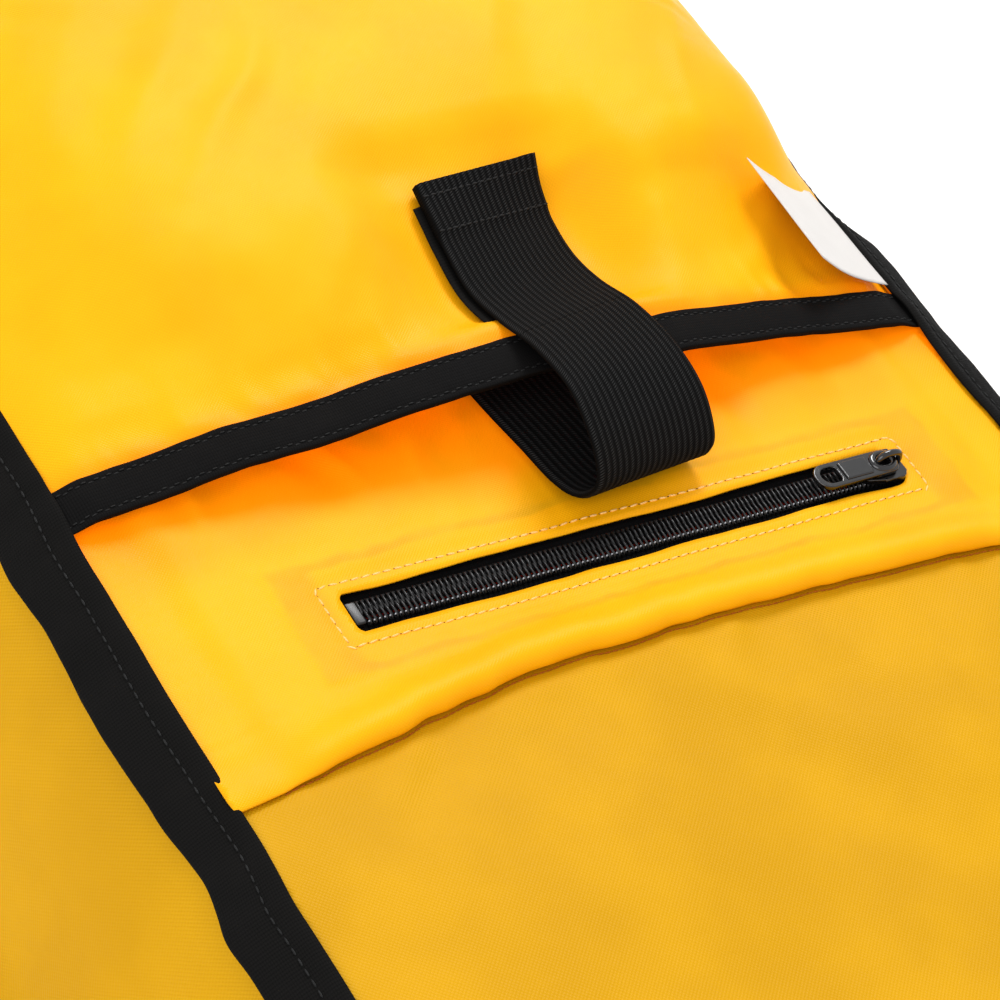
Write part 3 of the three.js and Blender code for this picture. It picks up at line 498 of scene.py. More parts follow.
# %% Plastics, metals and rubber
def hard(name, light, deep, roughness, metallic=0.0, coat=0.0, grain=1.1, depth=0.02, scuffs=0.12):
    """Moulded or cast surface with fine grain, slow tone and scuffs."""
    f = Finish(name, Metallic=metallic, Coat_Weight=coat, Coat_Roughness=0.08, Specular_IOR_Level=0.5)
    where = f.place()
    skin = f.cloud(where, grain, 3)
    tint = f.cloud(where, 21, 2)
    scratch = f.cloud(where, 3.5, 4, (1, 0.16, 1)).band(0.58, 0.7)
    return f.show(Base_Color=f.mix(tint.band(0.35, 0.65), deep, light), Roughness=skin * 0.1 + scratch
            * scuffs + (roughness - 0.05), Normal=f.relief(skin + scratch * 0.4, depth))


slider_enamel = hard("black enamel", tone(20, 20, 21), tone(10, 10, 11), 0.16, 0.3, 0.8, 1.6, 0.012, 0.1)
coil_nylon = hard("coil nylon", tone(20, 20, 21), tone(9, 9, 10), 0.38, depth=0.015)
moulding = hard("black moulding", tone(32, 32, 34), tone(22, 22, 24), 0.42, depth=0.03)
red_moulding = hard("red moulding", tone(200, 34, 26), tone(168, 22, 18), 0.36)
orange_moulding = hard("orange moulding", tone(240, 104, 24), tone(222, 84, 12), 0.36)
gasket_rubber = hard("gasket rubber", tone(40, 40, 41), tone(28, 28, 29), 0.72, depth=0.05)
tube_rubber = hard("tube rubber", tone(34, 34, 35), tone(24, 24, 25), 0.6, depth=0.04)
steel = hard("bright steel", tone(206, 208, 212), tone(178, 180, 186), 0.26, 1.0, depth=0.008)
bladder_skin = hard("bladder skin", tone(238, 104, 30), tone(220, 84, 20), 0.42, grain=2.4, depth=0.05)
print("finishes so far:", len(bpy.data.materials))

# %% [markdown]
# Reflective tape is silver with a small diamond grid pressed into it. The care label is smooth
# woven ribbon, left blank.

# %% Reflective patch and label finishes
def diamonds(name):
    """Silver film with a pressed diamond grid."""
    f = Finish(name, Metallic=0.55, Coat_Weight=0.4, Coat_Roughness=0.2)
    where = f.cloth()
    x, y, _ = f.parts(where)
    step = math.pi / (3.4 * MM)
    lines = ((x + y) * step).sine().size() * ((x - y) * step).sine().size()
    tint = f.cloud(where, 12, 2)
    return f.show(Base_Color=f.mix(lines.band(0.02, 0.2), tone(150, 153, 158), tone(214, 217, 221)),
            Roughness=tint * 0.15 + 0.25, Normal=f.relief(lines.band(0.0, 0.25), 0.15))


def ribbon(name):
    """White satin ribbon with a fine selvedge."""
    f = Finish(name, Sheen_Weight=0.2)
    where = f.cloth()
    x, y, _ = f.parts(where)
    rows = (y * (math.pi / (0.45 * MM))).sine().size()
    tint = f.cloud(where, 8, 3)
    # The white ribbon is painted a little grey, as painted shade, so that it stands off the pale floor.
    colour = f.mix(rows * 0.25 + tint * 0.5, tone(212, 208, 204), tone(198, 194, 190))
    return f.show(Base_Color=colour, Roughness=tint * 0.2 + 0.55, Normal=f.relief(rows + tint, 0.03))


reflective_film = diamonds("reflective film")
label_ribbon = ribbon("label ribbon")
print("finishes so far:", len(bpy.data.materials))

# %% [markdown]
# ## Camera, floor and light
# The view is a close one from above and to the left with a long lens, which keeps the sewing
# undistorted. A soft light from behind on the right and a broader one from the front on the left
# act, with a white world, like a studio tent. The floor is pale and large.

# %% Set up the studio
def studio():
    """Camera, floor, world and soft lights."""
    scene = bpy.context.scene
    scene.view_settings.view_transform = "Standard"
    data = bpy.data.cameras.new("close view")
    data.lens, data.sensor_width, data.clip_start, data.clip_end = 117.86, 36.0, 0.01, 50.0
    camera = bpy.data.objects.new("close view", data)
    right, up = Vector((0.8325, -0.4962, 0.2465)), Vector((0.2160, 0.7004, 0.6803))
    back = right.cross(up).normalized()
    turn = Matrix((right.normalized(), up.normalized(), back)).transposed().to_4x4()
    camera.matrix_world = Matrix.Translation(Vector((-387.7, -351.6, 577.3)) * MM) @ turn
    scene.collection.objects.link(camera)
    scene.camera = camera

    floor_finish = hard("pale floor", (0.98, 0.98, 0.98, 1), (0.96, 0.96, 0.96, 1), 0.7, depth=0.01,
            grain=30, scuffs=0.0)
    side = 4000
    floor = piece("floor", [(-side, -side, -0.4), (side, -side, -0.4), (side, side, -0.4),
            (-side, side, -0.4)], [(0, 1, 2, 3)], floor_finish)

    world = bpy.data.worlds.new("studio")
    scene.world = world
    world.use_nodes = True
    world.node_tree.nodes["Background"].inputs[0].default_value = (1, 1, 1, 1)
    world.node_tree.nodes["Background"].inputs[1].default_value = 0.84
    for name, where, aim, size, power in (("window light", (480, 760, 1000), (0, 20, 60), 0.5, 10),
            ("fill light", (-1100, -500, 1000), (0, 0, 60), 1.2, 9)):
        lamp = bpy.data.lights.new(name, "AREA")
        lamp.shape, lamp.size, lamp.energy = "DISK", size, power
        light = bpy.data.objects.new(name, lamp)
        light.location = Vector(where) * MM
        light.rotation_euler = (Vector(aim) - Vector(where)).to_track_quat("-Z", "Y").to_euler()
        scene.collection.objects.link(light)


studio()
print("camera:", [round(v, 3) for v in bpy.context.scene.camera.location])

# %% [markdown]
# ## The pattern outlines
# A sewing pattern is an outline on flat cloth. The jacket's outline has a straight hem with round
# corners, straight sides, and a flare that runs into the round collar. The head opening is a
# teardrop. Both are drawn as points, evenly spaced, so that everything that runs round an edge
# can follow them.

# %% Outline of the jacket and of the head opening
def arc(cx, cy, radius, start, end, steps):
    """Points on part of a circle, between two angles in degrees."""
    a = np.radians(np.linspace(start, end, steps + 1))
    return np.stack([cx + radius * np.cos(a), cy + radius * np.sin(a)], -1)


def even_loop(points, step):
    """The same closed loop with points `step` apart."""
    p = np.vstack([points, points[:1]])
    along = run_along(p)
    even = np.linspace(0, along[-1], int(along[-1] / step), endpoint=False)
    return np.stack([np.interp(even, along, p[:, k]) for k in (0, 1)], -1)


def jacket_loop(step=2.0):
    """The lining's edge, anticlockwise."""
    flare_y, flare = -100, 30
    join = arc(0, COLLAR_Y, COLLAR_R, flare, flare, 1)[0]
    pull = (flare_y - join[1]) * 0.4
    lean = math.radians(flare)
    p = [np.array((HALF, flare_y)), np.array((HALF, flare_y - pull)),
            np.array((join[0] - pull * math.sin(lean), join[1] + pull * math.cos(lean))), join]
    t = np.linspace(0, 1, 25)[:-1, None]
    bend = (1 - t) ** 3 * p[0] + 3 * t * (1 - t) ** 2 * p[1] + 3 * t ** 2 * (1 - t) * p[2] + t ** 3 * p[3]
    right = np.vstack([arc(HALF - HEM_RADIUS, HEM - HEM_RADIUS, HEM_RADIUS, 90, 0, 18), bend,
            arc(0, COLLAR_Y, COLLAR_R, flare, -90, 48)])
    left = right[:-1] * (-1, 1)
    return even_loop(np.vstack([left, right[::-1]]), step)


def neck_loop(step=2.0):
    """The head opening, anticlockwise."""
    tip_radius, tip_y = 16, -171
    lean = math.degrees(math.asin((NECK_R - tip_radius) / (tip_y - COLLAR_Y)))
    return even_loop(np.vstack([arc(0, tip_y, tip_radius, lean, 180 - lean, 16),
            arc(0, COLLAR_Y, NECK_R, 180 - lean, 360 + lean, 80)]), step)


def loop_frame(loop):
    """Outward direction and distance run at each point of a loop."""
    ahead = np.roll(loop, -1, 0) - np.roll(loop, 1, 0)
    ahead /= np.linalg.norm(ahead, axis=1)[:, None]
    out = np.stack([ahead[:, 1], -ahead[:, 0]], -1)
    run = run_along(loop)
    return out, run


def grown(loop, distance):
    """A loop moved outwards."""
    return loop + loop_frame(loop)[0] * distance


def within(points, loop):
    """Which points lie inside a loop."""
    a, b = loop, np.roll(loop, -1, 0)
    x, y = points[:, :1], points[:, 1:]
    crosses = (a[:, 1] > y) != (b[:, 1] > y)
    rise = np.where(np.abs(b[:, 1] - a[:, 1]) < 1e-9, 1e-9, b[:, 1] - a[:, 1])
    return ((crosses & (x < a[:, 0] + (y - a[:, 1]) * (b[:, 0] - a[:, 0]) / rise)).sum(1) % 2) == 1


def clear_of(points, loop):
    """Distance from each point to the nearest point of a loop."""
    return np.sqrt(((points[:, None] - loop[None]) ** 2).sum(-1).min(1))


edge_loop, opening_loop = jacket_loop(), neck_loop()
print("edge", len(edge_loop), "points, head opening", len(opening_loop))

# %% [markdown]
# ## Cutting a panel
# A panel of any outline, with holes, is filled with evenly spaced points and a Delaunay
# triangulation, which is how a flat pattern piece becomes a mesh. A `lift` function then moves
# each flat point to its place in space. It could also be done with a subdivided plane and
# booleans, but then the edges would be ragged.

# %% Cut a panel from flat cloth
def cut_panel(name, outline, lift, thickness, finish, holes=(), step=4.0, fine=None):
    """A sheet from a flat outline. `fine` is (x0, x1, y0, y1, step) for a part with closer points."""
    loops = [np.asarray(outline), *[np.asarray(h) for h in holes]]

    def seeds(spacing, x0, x1, y0, y1):
        ys = np.arange(y0 + spacing / 2, y1, spacing * 0.87)
        rows = []
        for k, y in enumerate(ys):
            xs = np.arange(x0 + spacing * (0.25 + 0.5 * (k % 2)), x1, spacing)
            rows.append(np.stack([xs, np.full(len(xs), y)], -1))
        return np.vstack(rows)

    def on_cloth(places):
        inside = within(places, loops[0])
        for loop in loops[1:]:
            inside &= ~within(places, loop)
        return inside

    (x0, y0), (x1, y1) = loops[0].min(0), loops[0].max(0)
    points = seeds(step, x0, x1, y0, y1)
    margin = np.full(len(points), 0.5 * step)
    if fine:
        fx0, fx1, fy0, fy1, close = fine
        kept = ~((points[:, 0] > fx0) & (points[:, 0] < fx1) & (points[:, 1] > fy0) & (points[:,
                1] < fy1))
        more = seeds(close, fx0, fx1, fy0, fy1)
        points = np.vstack([points[kept], more])
        margin = np.r_[margin[kept], np.full(len(more), 0.6 * close)]
    keep = on_cloth(points)
    points, margin = points[keep], margin[keep]
    for loop in loops:
        far = clear_of(points, loop) > margin
        points, margin = points[far], margin[far]
    corners, edges = [], []
    for loop in loops:
        first = len(corners)
        corners += loop.tolist()
        edges += [(first + k, first + (k + 1) % len(loop)) for k in range(len(loop))]
    flat, _, faces, *_ = delaunay_2d_cdt([Vector(p) for p in corners + points.tolist()], edges, [], 1,
            1e-5)
    flat = np.array([tuple(p) for p in flat])
    faces = np.array(faces)
    kept_faces = faces[on_cloth(flat[faces].mean(1))]
    obj = piece(name, lift(flat[:, 0], flat[:, 1]), kept_faces, finish, uv=flat)
    return thicken(obj, thickness)


print("pattern cutter ready")

# %% [markdown]
# ## The zip panel
# The bright panel is folded under along its lower edge, so the edge is a soft roll that stands
# 5 mm proud and throws a shadow on the lining below. The panel's flat points run down the cloth
# and then round this fold. It bulges over the zip tape, dips along the stitching and waves a
# little along the slot that the zip shows through.

# %% Sew the zip panel
seam_points = np.array([(-125, -39.8), (-114.7, -38.5), (-89.7, -34.8), (-63.1, -30.1), (-36.2, -26.9),
        (-9.7, -26.0), (6.8, -25.6), (33.8, -26.3), (61.7, -27.6), (90.8, -29.2), (125, -31)])
seam_line = curve_through(seam_points, 200)
fold_start = 16.0
fold_line = curve_through([(16, 0.3), (13, 1.1), (10, 2.5), (7.4, 4.2), (4.9, 5.5), (2.6, 5.7),
        (0.8, 4.7), (-0.2, 3.1), (-0.3, 1.5), (0.6, 0.5), (2.8, 0.25), (5.5, 0.2)], 90)
fold_run = run_along(fold_line)


def seam_at(x):
    """Where the panel's fold touches the lining below it."""
    return np.interp(x, seam_line[:, 0], seam_line[:, 1]) + 0.5 * humps(x, 0, 13, 3) + 0.35 * humps(x,
            0, 5.5, 4)


def slot_distance(x, y):
    """Distance outside the zip slot."""
    return np.hypot(np.maximum(np.maximum(ZIP_FROM - x, x - ZIP_TO), 0),
            np.maximum(np.abs(y) - ZIP_HALF, 0))


def panel_relief(x, y):
    """Height of the panel's cloth over its flat place."""
    d = slot_distance(x, y)
    over_tape = ease((17.4 - np.abs(y)) / 1.6) * ease((x - tape_low[0] + 1)
            / 2) * ease((tape_high[0] + 1 - x) / 2)
    calm = 1 - np.exp(-(d / 9) ** 2)
    side = ease((np.abs(x) - 88) / 26)
    h = 0.35 * over_tape - 0.32 * np.exp(-((d - 3.9) / 1.0) ** 2) + 0.18 * humps(x, y, 6, 2) * np.exp(-d
            / 4)
    h = h + calm * (0.8 * humps(x, y, 34, 1) + 0.3 * humps(x, y, 12, 6))
    h = h + calm * 0.42 * folds(x, y, 62, 46, 17, 8) * (0.4 + side)
    gather = np.exp(-np.maximum(MOUTH_FROM + 4 - y, 0) / 11)
    h = h + gather * 1.1 * folds(x, y, 86, 30, 11, 9) * ease((y - 5) / 20)
    near_tape = ease((np.abs(x) - HALF + 21) / 9)
    return h * (1 - 0.95 * near_tape) - 0.9 * near_tape


def lift_panel(x, y):
    """Moves the panel's flat points to their place, round the fold and over the tape."""
    c = seam_at(x)
    run = fold_start - (y - c)
    lower = 0.85 - 0.25 * ease((np.abs(x) - 80) / 14) - 0.37 * ease((np.abs(x) - 92) / 12)
    folded = run > 0
    fy = c + np.interp(run, fold_run, fold_line[:, 0])
    plump = 1 + 0.07 * humps(x, 0, 30, 7) + 0.03 * humps(x, y, 7, 5)
    fz = np.interp(run, fold_run, fold_line[:, 1]) * lower * plump
    blend = ease(run / 8)
    z = np.where(folded, fz + panel_relief(x, fy) * (1 - blend * 0.9), 0.3 + panel_relief(x, y))
    wave = 0.42 * humps(x, np.sign(y) * 40, 12, 12) * np.exp(-slot_distance(x, y) / 2.5)
    return np.stack([x, np.where(folded, fy, y) + wave, TOP + z], -1)


def zip_slot():
    """The slot's outline: square at the left, rounded at the right."""
    r, h = 4.6, ZIP_HALF
    corner = [(ZIP_TO - r, -h), *arc(ZIP_TO - r, -h + r, r, -90, 0, 6), *arc(ZIP_TO - r, h - r, r, 0,
            90, 6), (ZIP_FROM + 1, h), (ZIP_FROM, h - 1), (ZIP_FROM, -h + 1), (ZIP_FROM + 1, -h)]
    return even_loop(np.array(corner), 1.0)


def zip_panel_pattern():
    """Flat outline of the zip panel, with the cloth of the fold added along its lower edge."""
    x = np.linspace(PANEL_INSET - HALF, HALF - PANEL_INSET, 118)
    lower = np.stack([x, seam_at(x) + fold_start - fold_run[-1]], -1)
    above = edge_loop[edge_loop[:, 1] > lower[-1, 1] + 2] * (1 - PANEL_INSET / HALF, 1)
    right = above[above[:, 0] > 0]
    left = above[above[:, 0] <= 0]
    right = right[np.argsort(right[:, 1] - 0.001 * right[:, 0])]
    left = left[np.argsort(-left[:, 1] - 0.001 * left[:, 0])]
    return np.vstack([lower, right, left])


zip_panel = cut_panel("zip_panel_cloth", zip_panel_pattern(), lift_panel, 0.5, panel_cloth,
        [zip_slot()], step=4.5, fine=(-HALF, HALF, -60, 52, 1.5))
sewn(zip_panel, "jacket", "panel_fabric", "lining_zip_panel", "seam_roll")

# %% [markdown]
# ## The collar lining
# Below the fold the lining is a looser cloth, given a darker, duller colour. It is pulled in by the
# seam, so short tucks fan out below it, and long lazy folds run down beside the bound edge.

# %% Sew the collar lining
def lift_lining(x, y):
    """Moves the lining's flat points to their place, with tucks below the seam."""
    below = seam_at(x) - y
    tuck = np.exp(-np.maximum(below, 0) / 13) * ease(below / 3)
    slow = ease(below / 30)
    z = -0.5 + tuck * 1.2 * folds(x, y, 84, 34, 15, 21) + slow * 1.2 * humps(x, y, 42, 22)
    z = z + slow * 1.5 * folds(x, y, 118, 120, 36, 23, 0.3) + 0.1 * humps(x, y, 9, 24)
    z = z - 0.5 * ease((4 - below) / 8)
    return np.stack([x, y, TOP + z], -1)


def lining_pattern():
    """Flat outline of the collar lining up to just under the panel's fold."""
    x = np.linspace(HALF - LINING_INSET, -HALF + LINING_INSET, 90)
    upper = np.stack([x, seam_at(x) + 3.5], -1)
    below = edge_loop[edge_loop[:, 1] < min(upper[0, 1], upper[-1, 1]) - 2.5]
    start = int(np.argmax(below[:, 1] - 10 * (below[:, 0] > 0)))
    below = np.roll(below, -start, 0)
    return np.vstack([below * (1 - LINING_INSET / HALF, 1), upper])


collar_lining = cut_panel("collar_lining_cloth", lining_pattern(), lift_lining, 0.6, cover_cloth,
        [grown(opening_loop, 0.4)], step=5.0, fine=(-HALF, HALF, -158, -20, 2.2))
sewn(collar_lining, "jacket", "panel_fabric", "lining_collar")

# %% [markdown]
# ## The front cover
# The cover is one large panel that lies underneath, a little larger all round than the lining. It
# is cut like the other panels, with shallow dents, and faces down to the floor.

# %% Sew the front cover
def lift_cover(x, y):
    """Height of the cover's inner face, with shallow dents."""
    calm = ease((np.hypot(x, y + 60) - 20) / 60)
    return np.stack([x, y, 0.9 - 0.75 * np.abs(humps(x, y, 46, 31)) * calm], -1)


front_cover = cut_panel("front_cover_cloth", grown(edge_loop, OVERHANG)[::2], lift_cover, 1.0,
        cover_cloth, [opening_loop], step=9.0)
front_cover.data.transform(Matrix.Translation((0, 0, 0.0008)))
sewn(front_cover, "jacket", "cover_fabric", "front_cover")

# %% [markdown]
# ## The side walls
# The walls join the cover to the lining all the way round, leaning outwards over the bladder. A
# wall is a grid: along the edge in one direction, up the wall in the other. Upright folds are
# strongest halfway up and die out at the two seams.

# %% Sew the side walls
def wall(name, loop, offset, low, high, depth, finish, node, slot):
    """A strip of cloth that stands on a loop. `offset` gives its lean at each share of its height."""
    out, run = loop_frame(loop)
    rows = np.linspace(0, 1, 26)
    x0, y0 = loop[:, :1], loop[:, 1:]
    s = rows[None, :]
    free = (4 * s * (1 - s)) ** 0.7
    crinkle = folds(run[:, None] + 0 * s, s * 80, 78, 60, 26, 41) * 1.1 + humps(x0 + s * 11, y0 - s
            * 17, 44, 42) * 1.8
    crinkle = crinkle + folds(run[:, None] + 0 * s, s * 80, 60, 50, 14, 43) * 0.45
    away = offset(s) + free * crinkle * depth
    points = np.stack([x0 + out[:, :1] * away, y0 + out[:, 1:] * away, low + (high - low) * s + 0 * x0],
            -1)
    uv = np.stack([run[:, None] + 0 * s, (high - low) * 1.1 * s + 0 * run[:, None]], -1)
    obj = piece(name, points, grid_faces(len(loop), len(rows), round_rows=True), finish, uv=uv)
    obj = thicken(obj, 0.9)
    return sewn(obj, "jacket", slot, node)


bulge, neck_bulge = 7, 4
wall("side_wall_cloth", edge_loop, lambda s: OVERHANG * (1 - s) - LINING_INSET * s + bulge * 4 * s
        * (1 - s), WALL_LOW, WALL_HIGH, 0.8, cover_cloth, "wall_side", "cover_fabric")
wall("neck_wall_cloth", opening_loop[::-1], lambda s: -LINING_INSET + neck_bulge * 4 * s * (1 - s),
        WALL_LOW, WALL_HIGH, 0.45, cover_cloth, "wall_neck", "cover_fabric")

# %% [markdown]
# ## Bound edges
# A binding is a folded tape that swallows the raw edges of lining and wall. Stitching pulls a
# groove into it, and the cloth it holds makes it droop and pucker. One section, drawn as a few
# points, is carried round the outline, and the puckers come from the smooth random field.

# %% Carry a section round a loop
fin = np.array([(-1.5, 0.1), (-1.35, 0.75), (-0.2, 1.0), (1.0, 0.5), (2.1, -0.45), (2.9, -1.3),
        (3.7, -1.75), (5.2, -2.6), (7.0, -4.1), (8.6, -5.5), (9.8, -6.6), (10.5, -7.6), (10.3, -8.5),
        (9.3, -8.5), (7.4, -7.2), (5.4, -5.7), (3.4, -4.3), (1.6, -3.1), (0.4, -2.2), (0.2, -0.9)])
flat_tape = np.array([(-0.6, 0.7), (-0.5, 1.7), (1.0, 2.0), (2.6, 1.75), (5.0, 2.0), (7.4, 1.9),
        (8.2, 1.3), (8.2, 0.6), (7.4, 0.1), (4.0, 0.05), (0.4, 0.1)])


def binding(name, loop, section, level, away, node, side=1, pucker=1.0):
    """Tape round a loop. `away` is where the section starts, `side` which way it points."""
    out, run = loop_frame(loop)
    reach = (section[:, 0] - section[:, 0].min()) / np.ptp(section[:, 0])
    x, y = loop[:, :1], loop[:, 1:]
    sway = 0.75 * humps(x, y, 17, 51) + 0.35 * humps(x, y, 7, 52)
    dip = 0.9 * humps(x, y, 22, 53) + 0.4 * humps(x, y, 8, 54)
    hump = np.exp(-((y - 0.5 * (MOUTH_FROM + MOUTH_TO)) / 8) ** 2) * 1.9 * (pucker > 0.5)
    offset = away + side * (section[:, 0] + pucker * (sway * (0.35 + 0.8 * reach) - 0.5 * (1 - reach)))
    hump = hump + 1.0 * ease((y - MOUTH_TO) / 6) * (pucker > 0.9)
    dip = dip + pucker * ease(x / 40) * (0.9 - 2.2 * ease((y - 70) / 18)) * ease((y + 90) / 30)
    z = level + section[:, 1] + pucker * dip * reach ** 1.5 + hump * (1 - reach) * (level > 20)
    points = np.stack([x + out[:, :1] * offset, y + out[:, 1:] * offset, z + 0 * x], -1)
    girth = run_along(section)
    uv = np.stack([girth[None] + 0 * x, run[:, None] + 0 * girth[None]], -1)
    faces = grid_faces(len(loop), len(section), round_rows=True, round_columns=True)
    obj = outwards(piece(name, points, faces, tape_cloth, uv=uv))
    modify(obj, "SUBSURF", levels=1, render_levels=1)
    settle(obj)
    sewn(obj, "jacket", "black_tape", node)
    return points


back_points = binding("edge_binding", edge_loop, fin, TOP, 0.0, "binding_back", pucker=1.6)
binding("cover_binding", edge_loop, flat_tape, 0.0, OVERHANG + 0.3, "binding_front", pucker=0.3)
neck_points = binding("neck_binding", opening_loop, fin, TOP, 0.0, "binding_neck_back", side=-1,
        pucker=0.7)
binding("neck_cover_binding", opening_loop, flat_tape, 0.0, -0.3, "binding_neck_front", side=-1,
        pucker=0.2)

# %% [markdown]
# ## Stitches by Geometry Nodes
# Thousands of stitches follow a few lines, so they are the work of a node tree: the line becomes
# a curve, the curve is cut into even steps, and a small bead of thread is placed at each step and
# turned along the line. The inputs are set by their identifiers before the object is first
# evaluated. Realize Instances turns the copies into real mesh.

# %% The stitching tree
def new_tree(name, inputs):
    """An empty geometry tree with named inputs. Returns the tree, its input node and output node."""
    tree = bpy.data.node_groups.new(name, "GeometryNodeTree")
    tree.interface.new_socket("Geometry", in_out="INPUT", socket_type="NodeSocketGeometry")
    for label, kind, value in inputs:
        socket = tree.interface.new_socket(label, in_out="INPUT", socket_type=kind)
        if value is not None:
            socket.default_value = value
    tree.interface.new_socket("Geometry", in_out="OUTPUT", socket_type="NodeSocketGeometry")
    return tree, tree.nodes.new("NodeGroupInput"), tree.nodes.new("NodeGroupOutput")


def node(tree, kind, settings=None, **sockets):
    """Adds a node to a geometry tree; a socket's name may hold underscores for spaces."""
    made = tree.nodes.new(kind)
    for key, value in (settings or {}).items():
        setattr(made, key, value)
    for key, value in sockets.items():
        target = made.inputs[key.replace("_", " ")]
        if isinstance(value, bpy.types.NodeSocket):
            tree.links.new(value, target)
        else:
            target.default_value = value
    return made


def end_tree(tree, given, result, placed, label):
    """Makes the copies real mesh, gives them the input material `label` and ends the tree."""
    real = node(tree, "GeometryNodeRealizeInstances", Geometry=placed.outputs[0])
    painted = node(tree, "GeometryNodeSetMaterial", Geometry=real.outputs[0],
            Material=given.outputs[label])
    tree.links.new(painted.outputs[0], result.inputs["Geometry"])
    return tree


def stitching_tree():
    """Places a bead of thread at every pitch of a line of edges."""
    tree, given, result = new_tree("stitches on a line", [("Pitch", "NodeSocketFloat", 0.0027),
            ("Length", "NodeSocketFloat", 0.0022), ("Thickness", "NodeSocketFloat", 0.0006),
            ("Slant", "NodeSocketFloat", 0.0), ("Thread", "NodeSocketMaterial", None)])
    bead = node(tree, "GeometryNodeMeshUVSphere", Segments=6, Rings=5, Radius=0.5)
    size = node(tree, "ShaderNodeCombineXYZ", X=given.outputs["Length"], Y=given.outputs["Thickness"],
            Z=given.outputs["Thickness"])
    laid = node(tree, "GeometryNodeTransform", Geometry=bead.outputs["Mesh"], Scale=size.outputs[0])
    line = node(tree, "GeometryNodeMeshToCurve", Mesh=given.outputs["Geometry"])
    steps = node(tree, "GeometryNodeResampleCurve", {"mode": "LENGTH"}, Curve=line.outputs[0],
            Length=given.outputs["Pitch"])
    ahead = node(tree, "GeometryNodeInputTangent")
    facing = node(tree, "FunctionNodeAlignRotationToVector", {"axis": "X"}, Vector=ahead.outputs[0])
    slant = node(tree, "ShaderNodeCombineXYZ", Z=given.outputs["Slant"])
    turned = node(tree, "FunctionNodeRotateRotation", {"rotation_space": "LOCAL"})
    tree.links.new(facing.outputs[0], turned.inputs[0])
    tree.links.new(slant.outputs[0], turned.inputs[1])
    placed = node(tree, "GeometryNodeInstanceOnPoints", Points=steps.outputs[0],
            Instance=laid.outputs[0], Rotation=turned.outputs[0])
    return end_tree(tree, given, result, placed, "Thread")


stitching = stitching_tree()
print("stitching tree:", len(stitching.nodes), "nodes")

# %% [markdown]
# A seam is a line of points with its thread, pitch and stitch length. The modifier is applied at
# once and the result kept as a plain mesh, so nothing is left to be worked out later.

# %% Sew along a line
def grow_from(name, tree, points, edges, values):
    """Runs a tree on a line of edges and keeps the result as a plain mesh."""
    mesh = bpy.data.meshes.new(name)
    mesh.from_pydata((np.asarray(points, float) * MM).tolist(), edges, [])
    obj = bpy.data.objects.new(name, mesh)
    bpy.context.scene.collection.objects.link(obj)
    modifier = obj.modifiers.new("nodes", "NODES")
    modifier.node_group = tree
    for item in tree.interface.items_tree:
        if item.in_out == "INPUT" and item.name in values:
            modifier[item.identifier] = values[item.name]
    settle(obj)
    shade_smooth(obj)
    return obj


def stitches(name, lines, finish, slot, body="jacket", pitch=2.7, length=2.3, thickness=0.6, slant=0.0,
        closed=False):
    """Stitches along one or more lines of points in millimetres."""
    points, edges = [], []
    for line in lines:
        first = len(points)
        points += [tuple(p) for p in line]
        edges += [(first + k, first + k + 1) for k in range(len(line) - 1)]
        if closed:
            edges.append((len(points) - 1, first))
    obj = grow_from(name, stitching, points, edges, {"Pitch": pitch * MM, "Length": length * MM,
            "Thickness": thickness * MM, "Slant": slant, "Thread": finish})
    return sewn(obj, body, slot)


def fin_line(points, near, far, share, lift):
    """A line along a binding, between two points of its section."""
    return points[:, near] * (1 - share) + points[:, far] * share + (0, 0, lift)


for name, points in (("edge_binding_stitches", back_points), ("neck_binding_stitches", neck_points)):
    stitches(name, [fin_line(points, 5, 6, 0.5, 0.12)], black_thread, "black_tape", pitch=2.6,
            length=2.2, thickness=0.5, closed=True)

# A row of brown-orange beads along the crease under the fold is painted shade, not thread.
SEAM_END = 14
seam_x = np.linspace(SEAM_END - HALF, HALF - SEAM_END, 180)
seam_y = seam_at(seam_x) - 0.35
seam_shade_points = np.stack([seam_x, seam_y, lift_lining(seam_x, seam_y)[:, 2] + 0.25], -1)
stitches("seam_needle_line", [seam_shade_points], seam_shade_finish, "panel_fabric", pitch=1.9, length=2.0,
        thickness=0.36)

# %% [markdown]
# ## The zip
# A coil zip is two spirals of nylon wire sewn to two tapes. The tapes are thin sheets whose cloth
# shows in the slot. Each is a grid that follows its CAD node and sinks a little at its outer edge.

# %% Zip tapes
def zip_tape(name, side, node_name):
    """One tape, from beside the coil to under the panel."""
    low, high = span(node_name)
    across = np.linspace(low[1] if side > 0 else high[1], high[1] if side > 0 else low[1], 22)
    along = np.linspace(low[0], high[0], 150)
    x, y = np.meshgrid(along, across, indexing="ij")
    z = high[2] - 0.05 + 0.05 * humps(x, y, 8, 61) - 0.35 * ease((np.abs(y) - 12) / 4)
    faces = grid_faces(*x.shape)
    faces = faces if side > 0 else faces[:, ::-1]
    obj = piece(name, np.stack([x, y, z], -1), faces, zip_cloth, uv=np.stack([y, x], -1))
    thicken(obj, 0.55)
    return sewn(obj, "jacket", "black_tape", node_name)


zip_tape("zip_tape_upper_cloth", 1, "zip_tape_upper")
zip_tape("zip_tape_lower_cloth", -1, "zip_tape_lower")

# %% [markdown]
# Each turn of the coil is a small wire loop whose head reaches past the middle, so the turns of
# the two sides alternate. One loop is modelled, and a node tree places a copy at every pitch along
# each side, which keeps hundreds of turns cheap and exactly alike.

# %% Wind the coil
COIL_PITCH, COIL_SEAM = 1.3, 2.75


